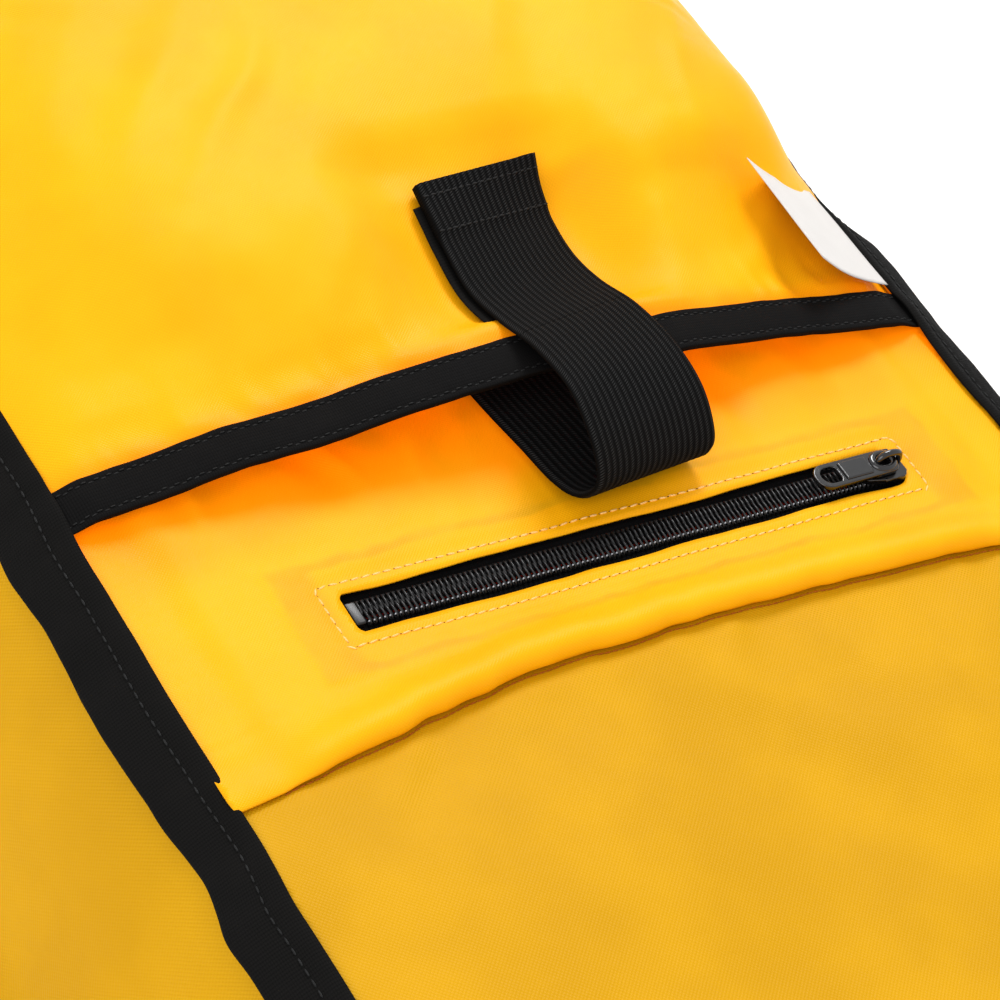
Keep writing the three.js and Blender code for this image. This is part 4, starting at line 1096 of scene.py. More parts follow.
def wire_loop(name, line, radius, sides, finish):
    """A closed wire through a loop of points."""
    line = np.asarray(line, float)
    ahead = np.roll(line, -1, 0) - np.roll(line, 1, 0)
    ahead /= np.linalg.norm(ahead, axis=1)[:, None]
    first = np.cross(ahead, (1, 0, 0))
    first /= np.linalg.norm(first, axis=1)[:, None]
    second = np.cross(ahead, first)
    a = np.linspace(0, 2 * math.pi, sides, endpoint=False)
    points = line[:, None] + radius * (np.cos(a)[None, :, None] * first[:, None]
            + np.sin(a)[None, :, None] * second[:, None])
    return outwards(piece(name, points, grid_faces(len(line), sides, True, True), finish))


def rows_tree():
    """Repeats an object along a line of edges."""
    tree, given, result = new_tree("copies on a line", [("Pitch", "NodeSocketFloat", 0.0013),
            ("Part", "NodeSocketObject", None), ("Material", "NodeSocketMaterial", None)])
    part = node(tree, "GeometryNodeObjectInfo", {"transform_space": "ORIGINAL"},
            Object=given.outputs["Part"])
    line = node(tree, "GeometryNodeMeshToCurve", Mesh=given.outputs["Geometry"])
    steps = node(tree, "GeometryNodeResampleCurve", {"mode": "LENGTH"}, Curve=line.outputs[0],
            Length=given.outputs["Pitch"])
    placed = node(tree, "GeometryNodeInstanceOnPoints", Points=steps.outputs[0],
            Instance=part.outputs["Geometry"])
    return end_tree(tree, given, result, placed, "Material")


copies = rows_tree()


def coil(name, side, shift, node_name):
    """One side's coil, its head reaching just past the middle."""
    low, high = span(node_name)
    outer, head = 3.15, -0.55
    base, top = low[2] + 0.1, high[2] - 0.15
    turn = [(0.30, outer - 0.5, base), (0.16, outer, base + 0.45), (0.0, outer, top - 0.5),
            (-0.10, outer - 0.6, top), (-0.18, 1.2, top + 0.12), (-0.24, head + 0.35, top + 0.05),
            (-0.16, head, top - 0.55), (0.0, head, base + 0.55), (0.16, head + 0.4, base),
            (0.26, 1.4, base - 0.05)]
    turn = np.array(turn) * (1, side, 1)
    pattern = wire_loop(name + "_turn", turn, 0.3, 5, coil_nylon)
    line = [(low[0] + shift, 0, 0), (high[0] - 0.3, 0, 0)]
    obj = grow_from(name, copies, line, [(0, 1)], {"Pitch": COIL_PITCH * MM, "Part": pattern,
            "Material": coil_nylon})
    bpy.data.objects.remove(pattern)
    return sewn(obj, "jacket", "coil_plastic", node_name)


coil("zip_coil_upper_turns", 1, 0.2, "zip_coil_upper")
coil("zip_coil_lower_turns", -1, 0.85, "zip_coil_lower")
coil_low, coil_high = span("zip_coil_upper")
for name, side, sewing, length, thickness in (("coil_sewing", -1, white_thread, 0.75, 0.4),
        ("coil_sewing_upper", 1, black_thread, 0.8, 0.42)):
    y, z = side * COIL_SEAM, coil_high[2] - 0.25
    stitches(name, [[(coil_low[0] + 0.5, y, z), (coil_high[0], y, z)]], sewing, "coil_plastic",
            pitch=COIL_PITCH, length=length, thickness=thickness, slant=-0.5 * side)

# %% [markdown]
# The slot is framed by one line of cream topstitching. The cloth dips where the needle went
# through, and the shade in each dip is painted as a small dark bead between the stitches.

# %% Topstitching round the slot
def on_panel(line, lift):
    """Lays a flat line of (x, y) on the zip panel."""
    x, y = np.asarray(line, float).T
    points = lift_panel(x, y)
    points[:, 2] += lift
    return points


def slot_frame(distance, step=0.9):
    """A closed line round the slot at a distance."""
    x0, x1, y = ZIP_FROM - distance, ZIP_TO + distance * 0.75, ZIP_HALF + distance - 1.2
    corners = np.array([(x0, -y), (x1, -y), (x1, y), (x0, y)])
    line = even_loop(corners, step)
    line = line + np.stack([0.18 * humps(line[:, 0], line[:, 1], 9, 64), 0.30
            * humps(line[:, 0], line[:, 1], 15, 65)], -1)
    return line


frame_line = slot_frame(4.1)
stitches("slot_topstitch", [on_panel(frame_line, 0.02)], yellow_thread, "panel_fabric", pitch=2.7,
        length=2.35, thickness=0.52, slant=0.12, closed=True)
# Painted shade: small dark beads in the dips between the stitches.
hole_shift = np.roll(frame_line, -1, 0) * 0.5 + frame_line * 0.5
stitches("slot_needle_holes", [on_panel(np.roll(hole_shift, -1, 0), -0.05)], painted_hole_shade,
        "panel_fabric", pitch=2.7, length=0.5, thickness=0.34, closed=True)

# %% [markdown]
# Cast and moulded pieces have no sharp edges. Where the CAD solid already has the right shape, a
# merged copy of it gets a bevel, as a mould rounds an edge. Modelling it again would only put its
# fit at risk. The little stop at the zip's end is the first of these.

# %% Round the edges of cast and moulded pieces
def merged(name, node_name, finish):
    """A copy of a CAD node with its loose triangles joined."""
    obj = bpy.data.objects.new(name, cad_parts[node_name].data.copy())
    obj.data.name = name
    bpy.context.scene.collection.objects.link(obj)
    dress(obj, finish)
    modify(obj, "WELD", merge_threshold=0.00002)
    return settle(obj)


def softened(name, node_name, body, slot, finish, bevel=0.5, segments=3, angle=35):
    """A CAD piece with its edges rounded as a mould rounds them."""
    obj = merged(name, node_name, finish)
    shade_smooth(obj)
    rounded(obj, bevel, segments, angle)
    return sewn(obj, body, slot, node_name)


softened("zip_stop_clip", "zip_stop", "jacket", "black_metal", coil_nylon, 0.4)

# %% [markdown]
# Small metalwork is put together from three kinds of stock, as in a workshop: flat plate with
# holes, rounded blocks, and round wire bent along a line. Each maker below gives one of them.

# %% Plate, block and wire
def plate(name, outline, holes, low, high, finish, bevel=0.3, step=0.8):
    """A flat plate with holes and rounded edges."""
    obj = cut_panel(name, outline, lambda x, y: np.stack([x, y, 0 * x + high], -1), high - low, finish,
            holes, step=step)
    return rounded(obj, bevel)


def joined(name, parts):
    """One object from several meshes that lie together."""
    with bpy.context.temp_override(active_object=parts[0], selected_editable_objects=parts):
        bpy.ops.object.join()
    parts[0].name = parts[0].data.name = name
    return parts[0]


def lump(name, low, high, finish, bevel=0.5, segments=3):
    """A small rounded block between two corners."""
    x0, y0, z0 = low
    x1, y1, z1 = high
    points = [(x, y, z) for z in (z0, z1) for y in (y0, y1) for x in (x0, x1)]
    faces = [(0, 2, 3, 1), (4, 5, 7, 6), (0, 1, 5, 4), (2, 6, 7, 3), (0, 4, 6, 2), (1, 3, 7, 5)]
    obj = piece(name, points, faces, finish)
    modify(obj, "BEVEL", width=bevel * MM, segments=segments, limit_method="NONE", harden_normals=True)
    return settle(obj)


def tube(name, line, radius, finish, sides=10, closed=False):
    """A round wire along a line of points in millimetres."""
    line = np.asarray(line, float)
    ahead = np.gradient(line, axis=0)
    if closed:
        ahead = np.roll(line, -1, 0) - np.roll(line, 1, 0)
    ahead /= np.linalg.norm(ahead, axis=1)[:, None]
    normal = np.cross(ahead[0], (0.13, 0.21, 0.97))
    frames = []
    for t in ahead:
        normal = normal - t * normal.dot(t)
        normal /= np.linalg.norm(normal)
        frames.append((normal.copy(), np.cross(t, normal)))
    a = np.linspace(0, 2 * math.pi, sides, endpoint=False)
    r = np.broadcast_to(radius, (len(line),))[:, None]
    rings = [p + ri * (np.cos(a)[:, None] * n + np.sin(a)[:, None] * b) for p, ri,
            (n, b) in zip(line, r, frames)]
    faces = grid_faces(len(line), sides, closed, True).tolist()
    if not closed:
        faces += [list(range(sides)), [(len(line) - 1) * sides + k for k in range(sides)][::-1]]
    return outwards(piece(name, np.array(rings), faces, finish))


print("plate, block and wire ready")

# %% [markdown]
# The slider is cast metal under glossy black enamel: two plates held apart by a post, flanges that
# guide the coils, and a bridge for the pull. A bevelled block would miss the gap between the
# plates, so it is assembled from stock and joined.

# %% Cast the slider
def zip_slider():
    """Two plates, a post, two flanges and a bridge for the pull."""
    low, high = span("zip_slider")
    under, over = low[2], high[2] - 4.0
    parts = []
    hull = [(low[0], -2.6), (low[0] + 1.2, -3.4), (low[0] + 5.0, -4.3), (low[0] + 8.5, -4.6),
            (high[0] - 1.0, -4.3), (high[0], -3.0)]
    hull = np.array(hull + [(x, -y) for x, y in hull[::-1]])
    parts.append(plate("slider_top", hull, (), over - 1.25, over + 0.15, slider_enamel, 0.35))
    parts.append(plate("slider_bottom", hull, (), under, under + 1.0, slider_enamel, 0.3))
    parts.append(lump("slider_post", (low[0] + 1, -0.4, under + 0.5), (low[0] + 4, 0.4, over - 0.8),
            slider_enamel, 0.15))
    for side in (-1, 1):
        y = sorted((side * 4.55, side * 3.75))
        parts.append(lump("slider_flange", (low[0] + 5.5, y[0], over - 2.2),
                (high[0] - 1.2, y[1], over), slider_enamel, 0.3))
    bridge = curve_through([(high[0] - 7.4, 0, over - 0.3), (high[0] - 7.3, 0, over + 2.2),
            (high[0] - 6.2, 0, over + 3.5), (high[0] - 4.0, 0, over + 3.9),
            (high[0] - 1.8, 0, over + 3.3), (high[0] - 0.9, 0, over + 1.6),
            (high[0] - 0.9, 0, over - 0.3)], 30)
    wire = tube("slider_bridge", bridge, 0.85, slider_enamel, 12)
    parts.append(wire)
    return joined("zip_slider_casting", parts)


sewn(zip_slider(), "zip_slider", "black_metal", "zip_slider")

# %% [markdown]
# The pull is a stamped plate: an outline with a window, a raised panel for the thumb and a thick
# eye where it hangs on the bridge.

# %% Stamp the pull
def zip_pull():
    """The pull: rounded at the free end, with a wide window and a raised panel."""
    low, high = span("zip_pull")
    half, z0, z1 = (high[1] - low[1]) / 2, low[2], high[2]
    free, eye = low[0], high[0]
    outline = np.vstack([arc(free + half, 0, half, 90, 270, 18), [(eye - 6.5, -half + 0.1)],
            arc(eye - 2.2, -half + 2.1, 1.9, 270, 340, 4), arc(eye - 2.2, half - 2.1, 1.9, 20, 90, 4),
            [(eye - 6.5, half - 0.1)]])
    window = np.vstack([arc(free + half + 0.5, 0, half - 1.25, 95, 265, 14),
            [(free + half + 2.4, -half + 1.25)], [(free + half + 3.1, -half + 2.0)],
            [(free + half + 3.1, half - 2.0)], [(free + half + 2.4, half - 1.25)]])
    slot = even_loop(np.array([(eye - 6.1, -1.5), (eye - 1.5, -1.5), (eye - 1.5, 1.5),
            (eye - 6.1, 1.5)]), 0.7)
    base = plate("pull_plate", even_loop(outline, 0.6), (even_loop(window, 0.6), slot), z0, z1,
            slider_enamel, 0.42)
    x0, x1 = free + half + 4.0, eye - 8.0
    panel = lump("pull_panel", (x0, -half + 1.0, z1 - 0.4), (x1, half - 1.0, z1 + 0.42), slider_enamel,
            0.4)
    rim = tube("pull_eye", np.array([(eye - 3.8 + 2.9 * math.cos(t), 2.35 * math.sin(t), (z0 + z1) / 2
            + 0.35) for t in np.linspace(0, 2 * math.pi, 28, endpoint=False)]), 0.95, slider_enamel, 12,
            closed=True)
    return joined("zip_pull_stamping", [base, panel, rim])


sewn(zip_pull(), "zip_pull", "black_metal", "zip_pull")

# %% [markdown]
# ## The closure strap
# The strap is knitted elastic with twenty cords along its length. It comes out of the pocket
# along the lining, turns back in a soft loop over the pocket's mouth and lies on the pocket, where
# its hook patch holds. The two edges of the loop don't run level, because a strap twists a little
# when it turns, so each edge has its own measured line and the surface spans between them.

# %% Draw the strap's edges
left_line = [(95.9, 23.2), (87.8, 21.1), (78.5, 18.5), (66.9, 16.6), (54.3, 19.3), (41, 23.6),
        (26.5, 25.1), (15.9, 21.4), (8.8, 15.9), (6.6, 11.2), (10.1, 5.6), (18, 2.7), (30, 2.2),
        (45, 2.2), (68, 2.2), (92, 2.2)]
right_line = [(101.3, 20.6), (95.6, 15.1), (88.7, 11.9), (77.6, 10.2), (66.1, 12.2), (52.4, 17.2),
        (36.9, 19.6), (23.6, 17.8), (15.0, 11.8), (12.6, 7.2), (15.5, 3.6), (23, 2.3), (34, 2.2),
        (48, 2.2), (70, 2.2), (94, 2.2)]
strap_low, strap_high = span("strap_base")
STRAP_X0, STRAP_X1 = strap_low[0] - 1.0, strap_high[0] - 0.5
LOOP_STEPS = 240
STRAP_WIDE = 37.0


def edge_curve(line, skew):
    """A strap edge as (x, y, z) points; the lower layer wanders sideways by `skew`."""
    yz = np.array([(y, TOP + z) for y, z in line])
    shift = np.array([0] * 8 + [0, -0.1, -0.25, -0.35, -0.5, -0.75, -1, -1.2]) * skew
    return curve_through(np.column_stack([shift, yz]), LOOP_STEPS)


strap_left, strap_right = edge_curve(left_line, 9.0), edge_curve(right_line, 9.0)
strap_left[:, 0] += STRAP_X0
strap_right[:, 0] += STRAP_X1
hinge_step = int(np.argmin(np.abs((strap_left[:100, 1] + strap_right[:100, 1]) / 2 - (MOUTH_TO + 1.0))))
print("strap hinge at step", hinge_step, "of", LOOP_STEPS)


def strap_point(step, share):
    """A point of the strap's outer face."""
    a, b = strap_left[step], strap_right[step]
    return a * (1 - share) + b * share


# %% [markdown]
# Every layer of the strap, its elastic as well as the two halves of its hook and loop closure, is
# a slab between two steps of these lines, with cords on both faces. The closure lies a little
# below the elastic.

# %% Shape a length of strap
def strap_piece(name, first, last, thickness, below=0.0, ribs=20, extra=None, finish=None,
        wide=(0.0, 1.0), rib_height=0.16):
    """A length of the strap between two steps, with ribs on both faces."""
    steps = np.arange(first, last + 1)
    share = np.linspace(wide[0], wide[1], ribs * 4 + 1)
    a, b = strap_left[steps][:, None], strap_right[steps][:, None]
    mid = a * (1 - share[None, :, None]) + b * share[None, :, None]
    run = np.gradient(mid, axis=0)
    across = np.gradient(mid, axis=1)
    normal = np.cross(run, across)
    normal /= np.linalg.norm(normal, axis=2)[:, :, None]
    rib = rib_height * (np.abs(np.sin(math.pi * ribs * (share - wide[0]) / (wide[1] - wide[0]))) ** 0.7)
    rim = np.minimum((share - wide[0]), (wide[1] - share)) / (wide[1] - wide[0]) * ribs
    thin = ease(rim / 0.8) * 0.75 + 0.25
    swell = extra(steps) if extra is not None else np.zeros(len(steps))
    half = thickness / 2
    middle = mid - normal * (half + below)
    outer = normal * ((half - rib_height) * thin + rib * thin)[None, :, None]
    turned_under = normal * swell[:, None, None] * 0.5
    up, down = middle + outer + turned_under, middle - outer - turned_under
    n, m = len(steps), len(share)
    points = np.concatenate([up, down[:, ::-1]], 1)
    faces = slab_faces(n, 2 * m)
    length = run_along(mid[:, m // 2])
    width = (share - wide[0]) / (wide[1] - wide[0]) * STRAP_WIDE
    uv = np.stack([np.broadcast_to(np.r_[width, width[::-1]], (n, 2 * m)),
            np.broadcast_to(length[:, None], (n, 2 * m))], -1)
    return outwards(piece(name, points, faces, finish or strap_cloth, uv=uv))


def folded_end(steps):
    """Extra thickness where the free end is turned under and sewn."""
    return 1.3 * (1 - ease((steps - 17) / 4)) * (1 - 0.55 * np.exp(-((steps - 18.5) / 1.2) ** 2))


print("strap maker ready")

# %% [markdown]
# The strap is cut at its hinge: the loop stays with the jacket and the tab is left in place on no
# body. The two halves of the closure lie between the tab and the pocket, and thread holds the
# tab's turned end.

# %% Sew the strap
strap_loop = strap_piece("strap_loop_elastic", hinge_step, LOOP_STEPS - 1, 1.8)
sewn(strap_loop, "jacket", "black_tape", "strap_base")
strap_tab = strap_piece("strap_tab_elastic", 0, hinge_step, 1.8, extra=folded_end)
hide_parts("strap_tab")
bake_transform(strap_tab)

hook = strap_piece("strap_hook_cloth", 6, hinge_step - 14, 0.8, below=1.95, ribs=14, wide=(-0.05, 0.95),
        rib_height=0.1, finish=tape_cloth)
sewn(hook, "strap_end", "black_tape", "strap_hook_patch")
loop_patch = strap_piece("strap_loop_patch_cloth", 9, hinge_step - 12, 0.8, below=2.9, ribs=14,
        wide=(-0.02, 1.03), rib_height=0.1, finish=tape_cloth)
sewn(loop_patch, "jacket", "black_tape", "strap_loop_patch")


def strap_cross(step, lift, inset=0.03):
    """A line across the strap."""
    share = np.linspace(inset, 1 - inset, 30)
    return np.array([strap_point(step, s) for s in share]) + (0, 0, lift)


stitches("strap_end_stitches", [strap_cross(17, 0.5), strap_cross(5, 0.6)], black_thread, "black_tape",
        body="strap_end", pitch=2.2, length=1.9, thickness=0.55)

# %% [markdown]
# ## The elastic mouth band
# The pocket's mouth is bound in folded elastic that springs up in the middle, so the band makes a
# low arch. It is thicker in the middle of its width, and two rows of stitching press into it. At
# its ends it thins and runs under the side bindings.

# %% Sew the mouth band
def band_top(x):
    """Height of the band's upper face over the lining."""
    arch = 2.7 + 15.3 * (1 - (np.minimum(np.abs(x), HALF) / HALF) ** 1.3)
    arch = arch + 0.35 * humps(x, 0, 19, 71)
    return arch - 2.0 * ease((np.abs(x) - 108) / 8)


def mouth_band():
    """Folded elastic: a rounded section carried along the arch."""
    section = [(0.0, -0.55), (0.12, -0.12), (0.55, 0.0), (1.3, -0.12), (1.7, -0.3), (2.1, -0.1),
            (4.0, 0.06), (6.0, 0.1), (8.2, 0.06), (9.6, -0.1), (10.0, -0.3), (10.4, -0.1), (11.2, 0.0),
            (11.8, -0.3), (12.0, -0.9), (11.9, -1.7), (11.0, -2.2), (6.0, -2.35), (1.0, -2.2),
            (0.1, -1.5)]
    section = np.array(section)
    x = np.linspace(-HALF - 0.4, HALF + 0.4, 320)[:, None]
    thin = 1 - 0.6 * ease((np.abs(x) - 106) / 10)
    y = MOUTH_FROM + section[None, :, 0] + 0.35 * humps(x, 0, 21, 73) + 0.16 * humps(x, 0, 5, 74)
    z = TOP + band_top(x) + section[None, :, 1] * thin + 0.1 * humps(x, section[None, :, 0], 4, 75)
    pressed = ease((x - STRAP_X0 + 8) / 8) * ease((STRAP_X1 + 8 - x) / 8)
    z = z - pressed * 0.75 * ease((x - 10) / 24)
    points = np.stack([x + 0 * z, y, z], -1)
    girth = run_along(section)
    uv = np.stack([girth[None] + 0 * x, x + 0 * girth[None]], -1)
    faces = grid_faces(len(x), len(section), round_columns=True).tolist()
    m, last = len(section), (len(x) - 1) * len(section)
    faces += [list(range(m)), [last + k for k in range(m)][::-1]]
    obj = outwards(piece("mouth_band_elastic", points, faces, band_cloth, uv=uv))
    sewn(obj, "jacket", "black_tape", "mouth_binding")
    return points


band_points = mouth_band()


def zigzag(line, reach, every):
    """A line that swings from side to side along y."""
    run = run_along(line)
    even = np.arange(0, run[-1], every)
    p = np.stack([np.interp(even, run, line[:, k]) for k in range(3)], -1)
    p[:, 1] += reach * (np.arange(len(p)) % 2 - 0.5)
    return p


band_rows = [zigzag(band_points[3:-3, k] + (0, 0, 0.16), 0.5, 1.5) for k in (4, 10)]
stitches("mouth_band_stitches", band_rows, black_thread, "black_tape", pitch=1.58, length=1.45,
        thickness=0.42)

# %% [markdown]
# ## The pocket
# The pocket is one panel of thin nylon with the jacket's fill behind it. It starts as a smooth
# dome from the mouth to the hem, pressed flat where the strap lies on it, and narrowed to the round
# corners of the hem.

# %% Draw the pocket
POUCH_EDGE, POUCH_END = span("pouch")[1][:2]


def strap_bed(x, y):
    """Height over the lining of the cloth pressed under the strap, and how strongly it is pressed."""
    flat = slice(0, hinge_step + 4)
    order = np.argsort(strap_left[flat, 1])
    lz = np.interp(y, strap_left[flat, 1][order], strap_left[flat, 2][order]) - TOP
    order = np.argsort(strap_right[flat, 1])
    rz = np.interp(y, strap_right[flat, 1][order], strap_right[flat, 2][order]) - TOP
    share = np.clip((x - STRAP_X0) / (STRAP_X1 - STRAP_X0), 0, 1)
    under = lz * (1 - share) + rz * share - 4.0
    beside = np.maximum(STRAP_X0 - 2.6 - x, x - STRAP_X1 - 2.4)
    pressed = (1 - ease(beside / 24)) * (1 - ease((y - 101) / 18)) * ease((y - 53) / 7)
    return under, pressed


def pocket_height(x, y):
    """Height of the pocket over the lining."""
    share = np.clip(np.abs(x) / POUCH_EDGE, 0, 1)
    full = 3.2 + 11 * ease((y - 84) / 34) * (x > 0)
    dome = 1.9 + 22.5 * (1 - share ** full) * ease((POUCH_END - y) / 46)
    open_height = band_top(x) - 1.1 + (dome - band_top(x) + 1.1) * ease((y - MOUTH_TO) / 50)
    under, pressed = strap_bed(x, y)
    return open_height * (1 - pressed) + np.minimum(open_height, under) * pressed


def pocket_grid(columns, rows):
    """Points of the pocket's upper face, narrowed to the round hem corners."""
    u = np.linspace(-1, 1, columns)[:, None]
    y = np.linspace(MOUTH_TO - 3.0, POUCH_END, rows)[None]
    narrow = HEM_RADIUS - np.sqrt(HEM_RADIUS ** 2 - np.maximum(0, y - HEM + HEM_RADIUS) ** 2)
    x = u * (POUCH_EDGE - narrow)
    return x, y + 0 * x


print("pocket reaches", round(float(POUCH_EDGE), 1), "mm to the side, ends at",
        round(float(POUCH_END), 1))

# %% [markdown]
# A cloth simulation blows the dome up with a little pressure while its seams are pinned, which
# gives the fullness at the sides that no formula gives. It runs on a coarse grid, its movement is
# held below a limit so that the pocket keeps its size, and the grid is filled in afterwards.

# %% Blow up the pocket
def puff(points, pressure, frames, cap, pins):
    """Blows up a closed mesh from a grid with Blender's cloth and returns the moved grid."""
    columns, rows = points.shape[:2]
    under = points.copy()
    under[..., 2] = TOP + 0.6
    both = np.concatenate([points.reshape(-1, 3), under.reshape(-1, 3)])
    top = grid_faces(columns, rows)
    count = columns * rows
    rim = [(i * rows, (i + 1) * rows) for i in range(columns - 1)]
    rim += [((columns - 1) * rows + j, (columns - 1) * rows + j + 1) for j in range(rows - 1)]
    rim += [((i + 1) * rows + rows - 1, i * rows + rows - 1) for i in range(columns - 1)]
    rim += [(j + 1, j) for j in range(rows - 1)]
    sides = [(b, a, a + count, b + count) for a, b in rim]
    faces = top.tolist() + (top[:, ::-1] + count).tolist() + sides
    obj = outwards(piece("pocket_balloon", both, faces, pouch_cloth))
    group = obj.vertex_groups.new(name="pins")
    weight = np.r_[pins.ravel(), np.ones(count)]
    for level in np.unique(weight.round(2)):
        group.add(np.flatnonzero(weight.round(2) == level).tolist(), float(level), "REPLACE")
    cloth = obj.modifiers.new("cloth", "CLOTH")
    cloth.settings.quality = 5
    cloth.settings.mass = 0.2
    cloth.settings.vertex_group_mass = "pins"
    cloth.settings.use_pressure = True
    cloth.settings.uniform_pressure_force = pressure
    cloth.settings.tension_stiffness = 12
    cloth.settings.bending_stiffness = 0.4
    cloth.settings.effector_weights.gravity = 0
    cloth.collision_settings.use_collision = False
    for step in range(1, frames + 1):
        bpy.context.scene.frame_set(step)
    shown = obj.evaluated_get(bpy.context.evaluated_depsgraph_get())
    moved = np.zeros(len(both) * 3)
    shown.data.vertices.foreach_get("co", moved)
    moved = moved.reshape(-1, 3)[:count] / MM
    bpy.context.scene.frame_set(1)
    bpy.data.objects.remove(obj)
    shift = moved - points.reshape(-1, 3)
    far = np.linalg.norm(shift, axis=1, keepdims=True)
    shift *= np.minimum(1, cap / np.maximum(far, 1e-6))
    print("pocket moved up to", round(float(far.max()), 1), "mm, kept",
            round(float(min(far.max(), cap)), 1))
    return (points.reshape(-1, 3) + shift).reshape(points.shape)


def finer(points, times):
    """Smoothly fills a grid of points in between."""
    for axis in (0, 1):
        n = points.shape[axis]
        t = np.linspace(0, n - 1, (n - 1) * times + 1)
        i = np.clip(np.floor(t).astype(int), 0, n - 2)
        f = t - i
        p = np.moveaxis(points, axis, 0)
        a, b = p[np.maximum(i - 1, 0)], p[i]
        c, d = p[i + 1], p[np.minimum(i + 2, n - 1)]
        f = f.reshape(-1, *([1] * (p.ndim - 1)))
        points = np.moveaxis(between(a, b, c, d, f), 0, axis)
    return points


print("cloth simulation ready")

# %% [markdown]
# Long folds over the pocket and short gathers along the elastic are added after the simulation,
# because its grid is too coarse for them. They die out at the seams and under the strap.

# %% Sew the pocket
def pocket():
    """The pocket's panel."""
    gx, gy = pocket_grid(59, 45)
    points = np.stack([gx, gy, TOP + pocket_height(gx, gy)], -1)
    _, pressed = strap_bed(gx, gy)
    edge = 1 - np.abs(gx) / np.abs(gx).max(0, keepdims=True)
    pins = np.clip(np.maximum.reduce([pressed ** 0.5, (gy <= MOUTH_TO + 1.5) * 1.0, 1
            - ease((gy - MOUTH_TO) / 14), (edge < 0.001) * 1.0, (gy > POUCH_END - 1) * 1.0]), 0, 1)
    points = puff(points, 4.0, 20, 9.0, pins)
    points = finer(points, 3)
    x, y = points[..., 0], points[..., 1]
    free = ease((1 - np.abs(x) / POUCH_EDGE) * 7) * ease((POUCH_END - y) / 20)
    _, pressed = strap_bed(x, y)
    loose = free * (1 - 0.85 * pressed)
    beyond = np.maximum(y - MOUTH_TO, 0)
    gather = np.exp(-beyond / 10) * ease(beyond / 2.5)
    z = gather * loose * (2.0 * folds(x, y, 84, 26, 12, 81) + 0.8 * folds(x, y, 97, 18, 6, 82))
    z = z + loose * ease(beyond / 25) * (2.7 * folds(x, y, -38, 150, 38, 83, 0.14) + 0.8
            * humps(x, y, 52, 84))
    z = z + loose * ease(beyond / 12) * (1.2 * folds(x, y, 58, 60, 16, 85, 0.18) + 0.14
            * humps(x, y, 7, 86))
    points[..., 2] += z
    uv = np.stack([x, y * 1.04], -1)
    obj = piece("pocket_cloth", points, grid_faces(*x.shape), pouch_cloth, uv=uv)
    thicken(obj, 0.6)
    return sewn(obj, "jacket", "panel_fabric", "pouch")


pocket()

# %% [markdown]
# ## The care label
# A slip of white ribbon is caught in the right-hand seam. It bows a little, so it is a small grid
# bent along its length rather than a flat card.

# %% Sew in the label
def care_label():
    """A bowed slip of ribbon that leans out of the seam."""
    low, high = span("care_label")
    u, v = np.meshgrid(np.linspace(0, 1, 24), np.linspace(0, 1, 28), indexing="ij")
    width, tilt = 30.5, math.radians(30.5)
    along = u * width
    bow = 1.5 * np.sin(math.pi * u) * (1 - 0.5 * v) - 1.1 * u * u * v
    x = high[0] - 1.8 - along * math.cos(tilt) - bow * math.sin(tilt)
    z = low[2] + 0.6 + along * math.sin(tilt) - bow * math.cos(tilt) + 0.2 * humps(along, v * 30, 13, 91)
    y = low[1] + v * (high[1] - low[1]) + 0.6 * u * np.sin(v * 2.2)
    faces = grid_faces(*u.shape)[:, ::-1]
    obj = piece("care_label_ribbon", np.stack([x, y, z], -1), faces, label_ribbon,
            uv=np.stack([along, v * 35], -1))
    thicken(obj, 0.25)
    return sewn(obj, "care_label", "label_fabric", "care_label")


care_label()

# %% [markdown]
# ## The bladder
# Inside the cover lies the folded bladder of coated cloth. Nobody sees it, but the export does,
# so it gets soft wrinkled skin too: the CAD solid is remeshed evenly and pushed about a little.

# %% Wrinkle the bladder
def bladder():
    """The CAD solid, remeshed and wrinkled inwards."""
    obj = merged("bladder_skin", "bladder", bladder_skin)
    modify(obj, "REMESH", mode="VOXEL", voxel_size=0.0055, use_smooth_shade=True)
    modify(obj, "SMOOTH", factor=0.6, iterations=4)
    settle(obj)
    co = np.zeros(len(obj.data.vertices) * 3)
    normal = np.zeros_like(co)
    obj.data.vertices.foreach_get("co", co)
    obj.data.vertices.foreach_get("normal", normal)
    co, normal = co.reshape(-1, 3) / MM, normal.reshape(-1, 3)
    crinkle = folds(co[:, 0], co[:, 1] + co[:, 2], 35, 70, 24, 101) + 0.6 * humps(co[:, 0], co[:, 1],
            15, 102)
    co -= normal * (0.9 + 0.8 * crinkle)[:, None]
    obj.data.vertices.foreach_set("co", (co * MM).ravel())
    dress(obj, bladder_skin)
    shade_smooth(obj)
    return sewn(obj, "jacket", "bladder_fabric", "bladder")


bladder()

# %% [markdown]
# ## Turned and moulded parts
# The gas cylinder, caps, gaskets and mouth tube are turned shapes: a profile of radius and
# distance is spun round an axis. Every profile is measured from the box of its CAD node, so it
# fits its neighbours.

# %% Spin a profile
def round_box(node_name, across):
    """Lowest and highest corner, middle and radius of a round CAD node, along axis `across`."""
    low, high = span(node_name)
    return low, high, (low + high) / 2, (high[across] - low[across]) / 2


